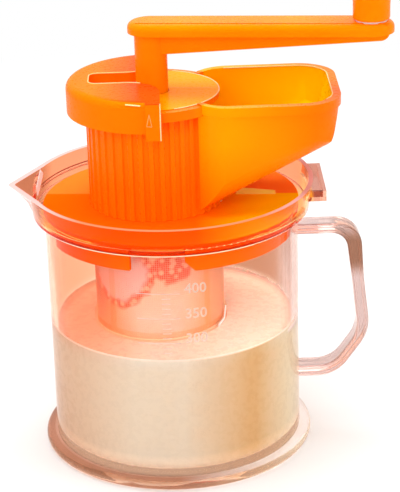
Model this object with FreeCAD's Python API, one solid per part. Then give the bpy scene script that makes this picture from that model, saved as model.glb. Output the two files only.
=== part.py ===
import FreeCAD, Part
import math
import os

Vector = FreeCAD.Vector
UP = Vector(0, 0, 1)

# Manual juicer: a clear measuring jug with a lift-off press head.
# The origin is the centre of the jug's foot, on the table.
# +Z is up, +X points to the handle and the hopper, and -X to the spout.

# How far a cutting shape runs past what it cuts, how far the pieces of one moulding reach into
# each other, and how close two measures are to count as the same
CUT_SPARE = 1.0
MERGE = 0.5
SAME = 1e-4

# Jug: the collar widens in a step from the wall, and flares a little up to the rim
JUG_R = 45.0
JUG_WALL = 2.2
JUG_HEIGHT = 98.5
FOOT_FLANGE = 4.0
FOOT_THICK = 3.8
FOOT_RING_WIDTH = 6.0
FOOT_RECESS = 1.2
FOOT_RECESS_SLOPE = 0.8
FLOOR_THICK = 3.0
FLOOR_CORNER = 5.0
COLLAR_HEIGHT = 9.9
COLLAR_STEP = 4.0
COLLAR_ROUND = 0.6
COLLAR_FLARE = 1.5
COLLAR_WALL = 1.6
LEDGE_THICK = 1.6
LEDGE_ROUND = 1.0

# Pouring spout, a V that grows out of the collar
SPOUT_REACH = 6.9
SPOUT_ROOT_DROP = 18.0
SPOUT_ROOT_INSET = 0.5
SPOUT_WALL = 2.0
SPOUT_TIP_ROUND = 2.5
SPOUT_KEEL = ((0.0, 0.0), (0.36, 0.37), (0.62, 0.50), (0.85, 0.78), (1.0, 1.0))

# Thumb lug opposite the spout, a shallow box open at its top
LUG_WIDTH = 29.0
LUG_REACH = 3.6
LUG_HEIGHT = 3.7
LUG_DROP = 1.2
LUG_WALL = 1.2
LUG_ROOT = 4.5

# Strap handle: its corners are given by how far they stand out from the jug's wall
STRAP_WIDTH = 9.0
STRAP_ROUND = 1.3
STRAP_TOP_DROP = 17.6
STRAP_TOP_THICK = 3.8
STRAP_BOTTOM_Z = 21.1
STRAP_BOTTOM_THICK = 4.1
STRAP_CORNER_OUT = 22.3
STRAP_WAIST_OUT = 23.5
STRAP_WAIST_DROP = 21.1
STRAP_WAIST_SKEW = 2.0
STRAP_HEEL_OUT = 25.9
STRAP_HEEL_RISE = 17.4
STRAP_TOE_OUT = 13.5
STRAP_TOE_INSET = 1.5
STRAP_SHOULDER_THICK = 5.4
STRAP_GRIP_THICK = 4.1
STRAP_HEEL_THICK = 4.5
STRAP_CORNER_ROUND = 9.0
STRAP_WAIST_ROUND = 40.0
STRAP_HEEL_ROUND = 16.0
STRAP_TOE_ROUND = 14.0
STRAP_INNER_LESS = 3.0
STRAP_ROOT = 4.0
STRAP_GROOVE = 0.8
STRAP_GROOVE_MARGIN = 1.2

# Base plate that rests on the jug's ledge
PLATE_THICK = 1.4
PLATE_SEAT = 2.5
PLATE_EDGE = 0.5
SKIRT_GAP = 0.4
SKIRT_WALL = 1.6
SKIRT_DROP = 9.5
SKIRT_SPOUT_HALF = 21.0
SKIRT_NOTCH_AT = 97.3
SKIRT_NOTCH_HALF = 12.8
SKIRT_NOTCH_CHAMFER = 2.4
SKIRT_RIB_ANGLES = (45, -45, 135, -135)
SKIRT_RIB = 1.4
SKIRT_RIB_RISE = 1.0
CUP_SOCKET_WALL = 1.6
CUP_SOCKET_DEPTH = 5.6

# Press barrel, off centre so that the hopper has room
BARREL_X = -5.0
BARREL_R = 22.9
BARREL_WALL = 3.7
RIB_HEIGHT = 0.7
RIB_COUNT = 40
RIB_VALLEY = 0.4
RIB_SIDE = 0.1
BARREL_HEIGHT = 39.6
FLANGE_STEP = 3.1
FLANGE_THICK = 3.4
SPIGOT_STEP = 1.7
SPIGOT_DROP = 7.6
SPIGOT_FIT = 0.08
BAYONET_REACH = 1.2
BAYONET_NOTCH_GAP = 0.2
BAYONET_THICK = 2.4
BAYONET_PLAY = 0.1
BAYONET_ANGLES = (60, 180, 300)
BAYONET_ARC = 16.0
TWIST = 25.0
NOTCH_MARGIN = 2.0

# Hopper, one moulding with the barrel
HOPPER_END_X = 58.6
HOPPER_NEAR_X = 16.5
HOPPER_HALF_WIDTH = 24.2
NECK_X = 8.6
NECK_HALF_WIDTH = 16.5
HOPPER_WALL = 2.2
HOPPER_RIM_LIFT = 0.6
HOPPER_RIM_HEIGHT = 3.3
HOPPER_RIM_PROUD = 0.7
HOPPER_FAR_ROUND = 13.0
HOPPER_NEAR_ROUND = 12.0
HOPPER_FLOOR_LIFT = 0.6
HOPPER_FLOOR_X = 9.0
HOPPER_FLOOR_ANGLE = 26.9
HOPPER_HEEL_ROUND = 9.0
HOPPER_END_LEAN = 3.0
HOPPER_END_SPARE = 0.5
HOPPER_EDGE_ROUND = 9.0

# Strainer bowl below the barrel, with its seal
SEAL_THICK = 1.4
SEAL_INSET = 0.2
BOWL_WIDER = 0.2
BOWL_WALL = 1.8
BOWL_DEPTH = 18.6
BOWL_ROUND = 14.0
COLLAR_OVERLAP = 2.0
BOWL_COLLAR_WALL = 1.5
BOWL_COLLAR_FIT = 0.05
BOWL_HOLE_R = 0.9
BOWL_HOLE_PITCH = 5.4
BOWL_HOLE_ROWS = 3
BOWL_HOLE_FIRST_DIP = 8.0
BOWL_HOLE_DIP_STEP = 25.0
BOSS_R = 5.0
BOSS_DROP = 3.0

# Auger that turns in the barrel
AUGER_GAP = 0.3
AUGER_TOP_GAP = 0.3
AUGER_PITCH = 17.0
AUGER_TURNS = 2.9
AUGER_START = 0.5
FLIGHT_THICK = 2.6
FLIGHT_EDGE = 1.3
FLIGHT_ROOT = 2.0
CORE_TOP_R = 8.0
CORE_LOW_R = 11.5
CORE_ROUND = 6.0
WASHER_THICK = 0.5
WASHER_R = 4.6
TIP_PIN_R = 2.0
TIP_PIN_LENGTH = 11.0
PIN_FIT = 0.05

# Lid
LID_PLATE_INSET = 2.9
LID_PLATE_THICK = 2.2
LID_PLATE_PROUD = 0.2
LID_PLATE_FIT = 0.3
CAP_GAP = 1.7
CAP_WALL = 2.3
CAP_TOP_LIFT = 5.1
CAP_SKIRT_DROP = 5.8
CAP_ROUND = 2.8
CAP_EDGE_X = 2.5
SLOT_MARGIN = 0.5
SLOT_END = 22.0
SLOT_END_ROUND = 3.0
SLOT_MOUTH_R = 11.5
END_RIB_WIDTH = 5.0
END_RIB_PROUD = 1.2
END_RIB_DROP = 2.0
HUB_WALL = 2.34
LID_HUB_DROP = 6.0
LID_LUG_ANGLES = (120, 180, 240)
LID_LUG_ARC = 14.0
LID_LUG_THICK = 2.0
LID_LUG_GAP = 0.2
LID_LUG_REACH = 1.6
LID_HOLE_GAP = 0.25
BUSH_WALL = 1.6
BUSH_FIT = 0.06
BUSH_RECESS = 0.4

# Crank with its drive post, turned a little towards the front
CRANK_ANGLE = -7.2
POST_R = 5.6
POST_TAIL = 0.2
CRANK_RISE = 25.0
ARM_HALF_WIDTH = 7.8
ARM_PLATE = 3.8
ARM_ROUND = 2.2
ARM_LENGTH = 75.3
BEAM_WIDTH = 8.0
BEAM_DEEP = 10.8
BEAM_SHALLOW = 6.0
BEAM_TOE_ROUND = 3.2
BEAM_TOE_INSET = 1.5
BEAM_CORE_WIDTH = 3.6
BEAM_CORE_TOP = 4.8
BEAM_CORE_START = 3.0
BEAM_CORE_END = 4.0
DRIVE_SIZE = 6.5
DRIVE_LENGTH = 17.0
DRIVE_HELD = 7.0
DRIVE_FIT = 0.1
SOCKET_SPARE = 0.8

# Turning grip on the crank
PIN_R = 2.5
PIN_HELD = 4.5
GRIP_WASHER = 0.6
GRIP_WASHER_R = 5.4
GRIP_FOOT_R = 6.3
GRIP_FOOT_ROUND = 0.8
GRIP_BELLY_R = 10.0
GRIP_BELLY_RISE = 22.4
GRIP_BELLY_ROUND = 14.0
GRIP_HEIGHT = 33.0
GRIP_NECK = 7.0
GRIP_NECK_ROUND = 20.0
GRIP_TOP_TAPER = 1.4
GRIP_TOP_ROUND = 3.0
PIN_HEAD_R = 4.3
PIN_HEAD_THICK = 1.6
GRIP_WELL_R = 5.0
GRIP_WELL_DEPTH = 8.0
CAP_PLUG_DEPTH = 2.6
CAP_CROWN = 0.6

# Filter cup that hangs under the plate
CUP_WALL = 0.9
CUP_HEIGHT = 43.7
CUP_FIT = 0.3
CUP_BOWL_GAP = 0.35
CUP_RING_BELOW = 1.1
CUP_FOOT = 3.0
CUP_RIB_WIDTH = 1.8
CUP_RIB_INSET = 0.05
CUP_RIB_LAP = 0.5
CUP_RIB_ANGLES = (45, 135, 225, 315)
MESH_THICK = 0.35
MESH_LAP = 0.5
CUP_FLOOR_THICK = 0.8

# Radii that follow from the values above
JUG_BORE = JUG_R - JUG_WALL
FOOT_R = JUG_R + FOOT_FLANGE
COLLAR_R = JUG_R + COLLAR_STEP
RIM_R = COLLAR_R + COLLAR_FLARE
SPOUT_TIP = RIM_R + SPOUT_REACH
BORE_R = BARREL_R - BARREL_WALL
FLANGE_R = BARREL_R + FLANGE_STEP
SPIGOT_R = BARREL_R - SPIGOT_STEP
BAYONET_R = SPIGOT_R + BAYONET_REACH
BOWL_R = BORE_R + BOWL_WIDER
BOWL_COLLAR_R = SPIGOT_R + BOWL_COLLAR_FIT + BOWL_COLLAR_WALL
AUGER_R = BORE_R - AUGER_GAP
LID_PLATE_R = FLANGE_R - LID_PLATE_INSET
CAP_R = FLANGE_R + CAP_GAP + CAP_WALL
BUSH_R = POST_R + BUSH_FIT + BUSH_WALL
LID_HUB_R = BUSH_R + HUB_WALL
SLOT_HALF_WIDTH = POST_R + SLOT_MARGIN
CUP_BORE = BOWL_COLLAR_R + CUP_BOWL_GAP
CUP_R = CUP_BORE + CUP_WALL

# Heights that follow from the values above
FLOOR_Z = FOOT_RECESS + FLOOR_THICK
STEP_Z = JUG_HEIGHT - COLLAR_HEIGHT
LEDGE_Z = STEP_Z + LEDGE_THICK
PLATE_TOP = LEDGE_Z + PLATE_THICK
BARREL_TOP = PLATE_TOP + BARREL_HEIGHT
HOPPER_TOP = BARREL_TOP + HOPPER_RIM_LIFT
FLANGE_Z = BARREL_TOP - FLANGE_THICK
SPIGOT_Z = PLATE_TOP - SPIGOT_DROP
SEAL_Z = SPIGOT_Z - SEAL_THICK
BOWL_STEP_Z = SEAL_Z - BOWL_WALL
BOWL_Z = SEAL_Z - BOWL_DEPTH
LID_TOP = BARREL_TOP + LID_PLATE_PROUD
LID_SEAT = LID_TOP - LID_PLATE_THICK
LID_HUB_Z = LID_SEAT - LID_HUB_DROP
BUSH_TOP = LID_SEAT + BUSH_RECESS
CAP_TOP = BARREL_TOP + CAP_TOP_LIFT
CAP_SKIRT_Z = BARREL_TOP - CAP_SKIRT_DROP
AUGER_TOP = LID_HUB_Z - AUGER_TOP_GAP
AUGER_Z = BOWL_Z + WASHER_THICK
TIP_PIN_TOP = AUGER_Z - BOWL_WALL - BOSS_DROP + TIP_PIN_LENGTH
POST_Z = LID_HUB_Z - POST_TAIL
CRANK_TOP = BARREL_TOP + CRANK_RISE
GRIP_Z = CRANK_TOP + GRIP_WASHER
CUP_Z = LEDGE_Z - CUP_HEIGHT
CUP_RING_Z = BOWL_STEP_Z - CUP_RING_BELOW


def at(axis_x):
    """A vertical drawing plane through an axis at axis_x: across, then up."""
    return lambda p: Vector(axis_x + p.x, 0, p.y)


def level(z):
    """A horizontal drawing plane at height z."""
    return lambda p: Vector(p.x, p.y, z)


def rounded_wire(corners, place):
    """Closed wire through (a, b) or (a, b, radius) corners, rounded where a radius is given."""
    points = [Vector(c[0], c[1], 0) for c in corners]
    pieces = []
    for i, corner in enumerate(corners):
        here = points[i]
        radius = corner[2] if len(corner) > 2 else 0
        if radius == 0:
            pieces.append((here, here, None))
            continue
        back = (points[i - 1] - here).normalize()
        ahead = (points[(i + 1) % len(points)] - here).normalize()
        half = back.getAngle(ahead) / 2
        trim = radius / math.tan(half)
        middle = here + (back + ahead).normalize() * (radius / math.sin(half) - radius)
        pieces.append((here + back * trim, here + ahead * trim, middle))
    edges = []
    for i, (start, end, middle) in enumerate(pieces):
        last = pieces[i - 1][1]
        if last.distanceToPoint(start) > SAME:
            edges.append(Part.LineSegment(place(last), place(start)).toShape())
        if middle:
            edges.append(Part.Arc(place(start), place(middle), place(end)).toShape())
    return Part.Wire(edges)


def turned(corners, axis_x=0.0):
    """Solid of revolution about a vertical axis from (radius, height) corners."""
    face = Part.Face(rounded_wire(corners, at(axis_x)))
    return face.revolve(Vector(axis_x, 0, 0), UP, 360)


def tube(r_out, r_in, z_low, z_high, axis_x=0.0):
    """Plain ring between two radii and two heights."""
    base = Vector(axis_x, 0, z_low)
    outer = Part.makeCylinder(r_out, z_high - z_low, base)
    return outer.cut(Part.makeCylinder(r_in, z_high - z_low, base))


def pin(radius, z_low, z_high, axis_x=0.0):
    """Plain vertical cylinder."""
    return Part.makeCylinder(radius, z_high - z_low, Vector(axis_x, 0, z_low))


def sector(radius, z_low, z_high, middle, half, axis_x=0.0):
    """Pie slice about a vertical axis, half degrees each side of the middle angle."""
    base = Vector(axis_x, 0, z_low)
    slice_ = Part.makeCylinder(radius, z_high - z_low, base, UP, 2 * half)
    slice_.rotate(base, UP, middle - half)
    return slice_


def block(x_low, x_high, y_half, z_low, z_high):
    """Box that is centred on Y."""
    return Part.makeBox(x_high - x_low, 2 * y_half, z_high - z_low, Vector(x_low, -y_half, z_low))


def prism_xy(corners, z_low, z_high):
    """Rounded plan outline, raised from z_low to z_high."""
    face = Part.Face(rounded_wire(corners, level(z_low)))
    return face.extrude(UP * (z_high - z_low))


def prism_xz(corners, y_half):
    """Rounded side outline, as thick as twice y_half, centred on Y."""
    face = Part.Face(rounded_wire(corners, lambda p: Vector(p.x, -y_half, p.y)))
    return face.extrude(Vector(0, 2 * y_half, 0))


def edges_at(shape, z):
    """Edges that lie wholly at height z."""
    boxes = [(e, e.BoundBox) for e in shape.Edges]
    return [e for e, box in boxes if abs(box.ZMin - z) < SAME and abs(box.ZMax - z) < SAME]


# Jug


def spout_form(inset):
    """V-shaped spout: one triangle that moves out along the keel as it rises."""
    base = RIM_R * RIM_R / SPOUT_TIP
    half = math.sqrt(RIM_R * RIM_R - base * base)
    root_r = JUG_R - SPOUT_ROOT_INSET
    root_z = JUG_HEIGHT - SPOUT_ROOT_DROP
    sections = []
    for rise, reach in SPOUT_KEEL:
        tip = root_r + reach * (SPOUT_TIP - root_r) - inset
        z = root_z + rise * SPOUT_ROOT_DROP
        back = tip - (SPOUT_TIP - base)
        corners = [(-tip, 0, SPOUT_TIP_ROUND), (-back, -half), (-back, half)]
        sections.append(rounded_wire(corners, level(z)))
    return Part.makeLoft(sections, True, True)


def thumb_lug():
    """Shallow box on the collar, open at its top."""
    top = JUG_HEIGHT - LUG_DROP
    low = top - LUG_HEIGHT
    root = RIM_R - LUG_ROOT
    out = RIM_R + LUG_REACH
    half = LUG_WIDTH / 2
    box = block(root, out, half, low, top)
    pocket = block(root - CUT_SPARE, out - LUG_WALL, half - LUG_WALL, low + LUG_WALL, top + CUT_SPARE)
    return box.cut(pocket)


def measuring_jug():
    """Clear jug: foot flange, plain wall, stepped collar, spout and thumb lug."""
    ring_in = FOOT_R - FOOT_RING_WIDTH
    slope = COLLAR_FLARE / COLLAR_HEIGHT
    body = turned([
        (0, FOOT_RECESS), (ring_in - FOOT_RECESS_SLOPE, FOOT_RECESS), (ring_in, 0),
        (FOOT_R, 0, FOOT_THICK / 2), (FOOT_R, FOOT_THICK, FOOT_THICK / 2), (JUG_R, FOOT_THICK),
        (JUG_R, STEP_Z), (COLLAR_R, STEP_Z, COLLAR_ROUND), (RIM_R, JUG_HEIGHT), (0, JUG_HEIGHT)])
    inner_low = COLLAR_R - COLLAR_WALL + slope * LEDGE_THICK
    cavity = turned([
        (0, FLOOR_Z), (JUG_BORE, FLOOR_Z, FLOOR_CORNER), (JUG_BORE, LEDGE_Z),
        (inner_low, LEDGE_Z, LEDGE_ROUND), (RIM_R - COLLAR_WALL, JUG_HEIGHT), (0, JUG_HEIGHT)])
    inset = SPOUT_WALL * SPOUT_TIP / RIM_R
    jug = body.fuse(spout_form(0)).fuse(thumb_lug())
    return jug.cut(cavity).cut(spout_form(inset)).removeSplitter()


def strap_outline():
    """Side outline of the strap: outer corners from top to bottom, then the inner ones back up."""
    root = JUG_R - STRAP_ROOT
    top = JUG_HEIGHT - STRAP_TOP_DROP
    top_in = top - STRAP_TOP_THICK
    low = STRAP_BOTTOM_Z
    low_in = low + STRAP_BOTTOM_THICK
    corner_x = JUG_R + STRAP_CORNER_OUT
    waist_x = JUG_R + STRAP_WAIST_OUT
    waist_z = top - STRAP_WAIST_DROP
    heel_x = JUG_R + STRAP_HEEL_OUT
    heel_z = low + STRAP_HEEL_RISE
    toe_x = JUG_R + STRAP_TOE_OUT
    less = STRAP_INNER_LESS
    return [
        (root, top), (corner_x, top, STRAP_CORNER_ROUND), (waist_x, waist_z, STRAP_WAIST_ROUND),
        (heel_x, heel_z, STRAP_HEEL_ROUND), (toe_x, low, STRAP_TOE_ROUND), (root, low),
        (root, low_in), (toe_x - STRAP_TOE_INSET, low_in, STRAP_TOE_ROUND - less),
        (heel_x - STRAP_HEEL_THICK, heel_z, STRAP_HEEL_ROUND - less),
        (waist_x - STRAP_GRIP_THICK, waist_z - STRAP_WAIST_SKEW, STRAP_WAIST_ROUND),
        (corner_x - STRAP_SHOULDER_THICK, top_in, STRAP_CORNER_ROUND - less), (root, top_in)]


def jug_handle():
    """Strap handle with a groove in each side; its ends follow the jug's wall."""
    outline = strap_outline()
    root = JUG_R - STRAP_ROOT
    strap = prism_xz(outline, STRAP_WIDTH / 2)
    long_edges = [e for e in strap.Edges if e.BoundBox.YLength < SAME and e.BoundBox.XMax > root + SAME]
    strap = strap.makeFillet(STRAP_ROUND, long_edges)
    plan = Part.Face(rounded_wire(outline, lambda p: Vector(p.x, 0, p.y)))
    groove = plan.makeOffset2D(-STRAP_GROOVE_MARGIN).extrude(Vector(0, STRAP_WIDTH, 0))
    web_half = STRAP_WIDTH / 2 - STRAP_GROOVE
    for side in (web_half, -web_half - STRAP_WIDTH):
        cutter = groove.copy()
        cutter.translate(Vector(0, side, 0))
        strap = strap.cut(cutter)
    return strap.cut(pin(JUG_R, 0, JUG_HEIGHT))


# Base plate


def base_plate():
    """Round plate with a notched skirt, a twist-lock hole and a socket ring for the cup."""
    edge_r = JUG_BORE + PLATE_SEAT
    skirt_r = JUG_BORE - SKIRT_GAP
    skirt_z = LEDGE_Z - SKIRT_DROP
    inner_r = skirt_r - SKIRT_WALL
    disc = turned([(0, LEDGE_Z), (edge_r, LEDGE_Z), (edge_r, PLATE_TOP, PLATE_EDGE), (0, PLATE_TOP)])
    skirt = tube(skirt_r, inner_r, skirt_z, LEDGE_Z)
    cut_r = skirt_r + CUT_SPARE
    gaps = sector(cut_r, skirt_z, LEDGE_Z, 180, SKIRT_SPOUT_HALF)
    for side in (1, -1):
        gaps = gaps.fuse(sector(cut_r, skirt_z, LEDGE_Z, side * SKIRT_NOTCH_AT, SKIRT_NOTCH_HALF))
        corner = side * (SKIRT_NOTCH_AT - SKIRT_NOTCH_HALF)
        reach = SKIRT_NOTCH_CHAMFER
        wedge = block(-reach, reach, 2 * SKIRT_WALL, -reach, reach)
        wedge.rotate(Vector(0, 0, 0), Vector(0, 1, 0), 45)
        wedge.translate(Vector(0, skirt_r, skirt_z))
        wedge.rotate(Vector(0, 0, 0), UP, corner - 90)
        gaps = gaps.fuse(wedge)
    skirt = skirt.cut(gaps)
    ribs = []
    for angle in SKIRT_RIB_ANGLES:
        rib_z = skirt_z + SKIRT_RIB_RISE
        rib = block(inner_r - SKIRT_RIB, inner_r + MERGE, SKIRT_RIB / 2, rib_z, LEDGE_Z)
        rib.rotate(Vector(0, 0, 0), UP, angle)
        ribs.append(rib)
    socket_in = CUP_R + CUP_FIT
    socket_z = LEDGE_Z - CUP_SOCKET_DEPTH
    socket = tube(socket_in + CUP_SOCKET_WALL, socket_in, socket_z, LEDGE_Z, BARREL_X)
    plate = disc.fuse([skirt, socket] + ribs)
    hole = pin(SPIGOT_R + SPIGOT_FIT, LEDGE_Z, PLATE_TOP, BARREL_X)
    for angle in BAYONET_ANGLES:
        half = BAYONET_ARC / 2 + NOTCH_MARGIN
        notch = sector(BAYONET_R + BAYONET_NOTCH_GAP, LEDGE_Z, PLATE_TOP, angle + TWIST, half, BARREL_X)
        hole = hole.fuse(notch)
    return plate.cut(hole).removeSplitter()


# Barrel and hopper


def ribbed_barrel():
    """Barrel wall with upright ribs all round it."""
    pitch = 2 * math.pi / RIB_COUNT
    crest_r = BARREL_R + RIB_HEIGHT
    crest = RIB_VALLEY + RIB_SIDE
    corners = []
    for i in range(RIB_COUNT):
        for share, radius in ((0, BARREL_R), (RIB_VALLEY, BARREL_R), (crest, crest_r),
                              (1 - RIB_SIDE, crest_r)):
            angle = (i + share) * pitch
            corners.append((BARREL_X + radius * math.cos(angle), radius * math.sin(angle)))
    return prism_xy(corners, PLATE_TOP, FLANGE_Z)


def hopper_plan(grow):
    """Plan corners of the hopper: narrow neck at the barrel, then the wide trough."""
    half = HOPPER_HALF_WIDTH + grow
    end = HOPPER_END_X + grow
    neck = NECK_HALF_WIDTH + grow
    corners = [(BARREL_X, -neck), (NECK_X, -neck), (HOPPER_NEAR_X, -half, HOPPER_NEAR_ROUND + grow),
               (end, -half, HOPPER_FAR_ROUND + grow)]
    return corners + [(c[0], -c[1]) + c[2:] for c in reversed(corners)]


def hopper_form(inset):
    """Hopper trough with a sloped floor, a round heel and softened lower edges."""
    slope = math.tan(math.radians(HOPPER_FLOOR_ANGLE))
    low = PLATE_TOP + HOPPER_FLOOR_LIFT + inset / math.cos(math.radians(HOPPER_FLOOR_ANGLE))
    half = HOPPER_HALF_WIDTH - inset
    end = HOPPER_END_X - inset
    heel = end - HOPPER_END_LEAN
    side = prism_xz([
        (BARREL_X, HOPPER_TOP), (BARREL_X, low), (HOPPER_FLOOR_X, low),
        (heel, low + (heel - HOPPER_FLOOR_X) * slope, HOPPER_HEEL_ROUND - inset),
        (end + HOPPER_END_SPARE, HOPPER_TOP)], half + HOPPER_WALL)
    length = 2 * HOPPER_END_X
    cradle = Part.Face(rounded_wire([
        (-half, length), (-half, 0, HOPPER_EDGE_ROUND - inset),
        (half, 0, HOPPER_EDGE_ROUND - inset), (half, length)],
        lambda p: Vector(-length, p.x, p.y))).extrude(Vector(2 * length, 0, 0))
    cradle.rotate(Vector(0, 0, 0), Vector(0, 1, 0), -HOPPER_FLOOR_ANGLE)
    cradle.translate(Vector(HOPPER_FLOOR_X, 0, low))
    return prism_xy(hopper_plan(-inset), PLATE_TOP, HOPPER_TOP).common(side).common(cradle)


def barrel_hopper():
    """Barrel, top flange, spigot with lugs, and the hopper that opens into the bore."""
    rim_z = HOPPER_TOP - HOPPER_RIM_HEIGHT
    barrel = ribbed_barrel()
    flange = pin(FLANGE_R, FLANGE_Z, BARREL_TOP, BARREL_X)
    spigot = pin(SPIGOT_R, SPIGOT_Z, PLATE_TOP, BARREL_X)
    lugs = []
    lug_top = LEDGE_Z - BAYONET_PLAY
    for angle in BAYONET_ANGLES:
        lug = sector(BAYONET_R, lug_top - BAYONET_THICK, lug_top, angle, BAYONET_ARC / 2, BARREL_X)
        lugs.append(lug)
    rim = prism_xy(hopper_plan(HOPPER_RIM_PROUD), rim_z, HOPPER_TOP)
    rim = rim.cut(pin(FLANGE_R - CUT_SPARE, rim_z, HOPPER_TOP, BARREL_X))
    body = barrel.fuse([flange, spigot, hopper_form(0), rim] + lugs)
    bore = pin(BORE_R, SPIGOT_Z, HOPPER_TOP, BARREL_X)
    seat = pin(LID_PLATE_R + LID_PLATE_FIT, LID_SEAT, HOPPER_TOP, BARREL_X)
    body = body.cut([bore, seat, hopper_form(HOPPER_WALL)])
    for angle in LID_LUG_ANGLES:
        half_arc = LID_LUG_ARC / 2 + NOTCH_MARGIN
        notch = sector(FLANGE_R + CUT_SPARE, FLANGE_Z, BARREL_TOP, angle + TWIST, half_arc, BARREL_X)
        notch = notch.cut(pin(FLANGE_R - LID_LUG_REACH - LID_LUG_GAP, FLANGE_Z, BARREL_TOP, BARREL_X))
        body = body.cut(notch)
    return body.removeSplitter()


def strainer_seal():
    """Soft ring between the spigot's end and the strainer's step."""
    return tube(SPIGOT_R - SEAL_INSET, BORE_R + SEAL_INSET, SEAL_Z, SPIGOT_Z, BARREL_X)


def strainer_basket():
    """Perforated bowl with a collar over the spigot and a bearing boss at its bottom."""
    collar_in = SPIGOT_R + BOWL_COLLAR_FIT
    collar_top = SPIGOT_Z + COLLAR_OVERLAP
    bowl_out = BOWL_R + BOWL_WALL
    bottom = BOWL_Z - BOWL_WALL
    form = turned([
        (0, bottom), (bowl_out, bottom, BOWL_ROUND + BOWL_WALL), (bowl_out, BOWL_STEP_Z),
        (BOWL_COLLAR_R, BOWL_STEP_Z), (BOWL_COLLAR_R, collar_top), (collar_in, collar_top),
        (collar_in, SEAL_Z), (BOWL_R, SEAL_Z), (BOWL_R, BOWL_Z, BOWL_ROUND), (0, BOWL_Z)], BARREL_X)
    form = form.fuse(pin(BOSS_R, bottom - BOSS_DROP, bottom + MERGE, BARREL_X))
    holes = []
    centre = BOWL_Z + BOWL_ROUND
    for row in range(BOWL_HOLE_ROWS):
        dip = math.radians(BOWL_HOLE_FIRST_DIP + BOWL_HOLE_DIP_STEP * row)
        ring_r = BOWL_R - BOWL_ROUND + (BOWL_ROUND + BOWL_WALL / 2) * math.cos(dip)
        count = max(6, int(2 * math.pi * ring_r / BOWL_HOLE_PITCH))
        for i in range(count):
            turn = 360.0 * (i + 0.5 * (row % 2)) / count
            hole = Part.Face(Part.makePolygon([
                Vector(0, BOWL_HOLE_R, 0), Vector(0, 0, BOWL_HOLE_R), Vector(0, -BOWL_HOLE_R, 0),
                Vector(0, 0, -BOWL_HOLE_R), Vector(0, BOWL_HOLE_R, 0)])).extrude(Vector(3 * BOWL_WALL, 0, 0))
            hole.translate(Vector(BOWL_ROUND - BOWL_WALL, 0, 0))
            hole.rotate(Vector(0, 0, 0), Vector(0, 1, 0), math.degrees(dip))
            hole.translate(Vector(BOWL_R - BOWL_ROUND, 0, centre))
            hole.rotate(Vector(0, 0, 0), UP, turn)
            hole.translate(Vector(BARREL_X, 0, 0))
            holes.append(hole)
    form = form.cut(holes)
    return form.cut(pin(TIP_PIN_R + PIN_FIT, bottom - BOSS_DROP, BOWL_Z, BARREL_X))


# Auger


def auger():
    """Screw with a core that thickens downwards and a rounded lower end."""
    core = turned([
        (0, AUGER_Z), (CORE_LOW_R, AUGER_Z, CORE_ROUND), (CORE_TOP_R, AUGER_TOP), (0, AUGER_TOP)],
        BARREL_X)
    low = AUGER_Z + AUGER_START
    path = Part.makeHelix(AUGER_PITCH, AUGER_PITCH * AUGER_TURNS, BORE_R)
    path.translate(Vector(0, 0, low))
    inner = CORE_TOP_R - FLIGHT_ROOT
    outer = BORE_R + CUT_SPARE
    section = Part.makePolygon([
        Vector(inner, 0, low - FLIGHT_THICK / 2), Vector(outer, 0, low - FLIGHT_EDGE / 2),
        Vector(outer, 0, low + FLIGHT_EDGE / 2), Vector(inner, 0, low + FLIGHT_THICK / 2),
        Vector(inner, 0, low - FLIGHT_THICK / 2)])
    flight = Part.Wire(path).makePipeShell([Part.Wire(section)], True, True)
    flight.translate(Vector(BARREL_X, 0, 0))
    envelope = turned([
        (0, AUGER_Z), (AUGER_R, AUGER_Z, BOWL_ROUND - AUGER_GAP), (AUGER_R, AUGER_TOP), (0, AUGER_TOP)],
        BARREL_X)
    screw = core.fuse(flight.common(envelope))
    hole = pin(TIP_PIN_R, AUGER_Z, TIP_PIN_TOP, BARREL_X)
    side = DRIVE_SIZE + 2 * DRIVE_FIT
    socket_z = POST_Z - DRIVE_LENGTH + DRIVE_HELD - SOCKET_SPARE
    socket = block(-side / 2, side / 2, side / 2, socket_z, AUGER_TOP)
    socket.rotate(Vector(0, 0, 0), UP, CRANK_ANGLE)
    socket.translate(Vector(BARREL_X, 0, 0))
    return screw.cut([hole, socket]).removeSplitter()


def auger_tip_pin():
    """Steel journal at the auger's lower end."""
    return pin(TIP_PIN_R, TIP_PIN_TOP - TIP_PIN_LENGTH, TIP_PIN_TOP, BARREL_X)


def thrust_washer():
    """Slip washer between the auger and the strainer's bottom."""
    return tube(WASHER_R, TIP_PIN_R + PIN_FIT, BOWL_Z, AUGER_Z, BARREL_X)


# Lid


def lid_slot(z_low, z_high):
    """Groove in the cap: closed end with round corners, and a mouth that widens towards the post."""
    edge = BARREL_X + CAP_EDGE_X
    mouth = SLOT_HALF_WIDTH + SLOT_MOUTH_R + CUT_SPARE
    corners = [(BARREL_X - SLOT_END, -SLOT_HALF_WIDTH, SLOT_END_ROUND),
               (edge, -SLOT_HALF_WIDTH, SLOT_MOUTH_R), (edge, -mouth), (edge + CUT_SPARE, -mouth)]
    return prism_xy(corners + [(c[0], -c[1]) + c[2:] for c in reversed(corners)], z_low, z_high)


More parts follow.
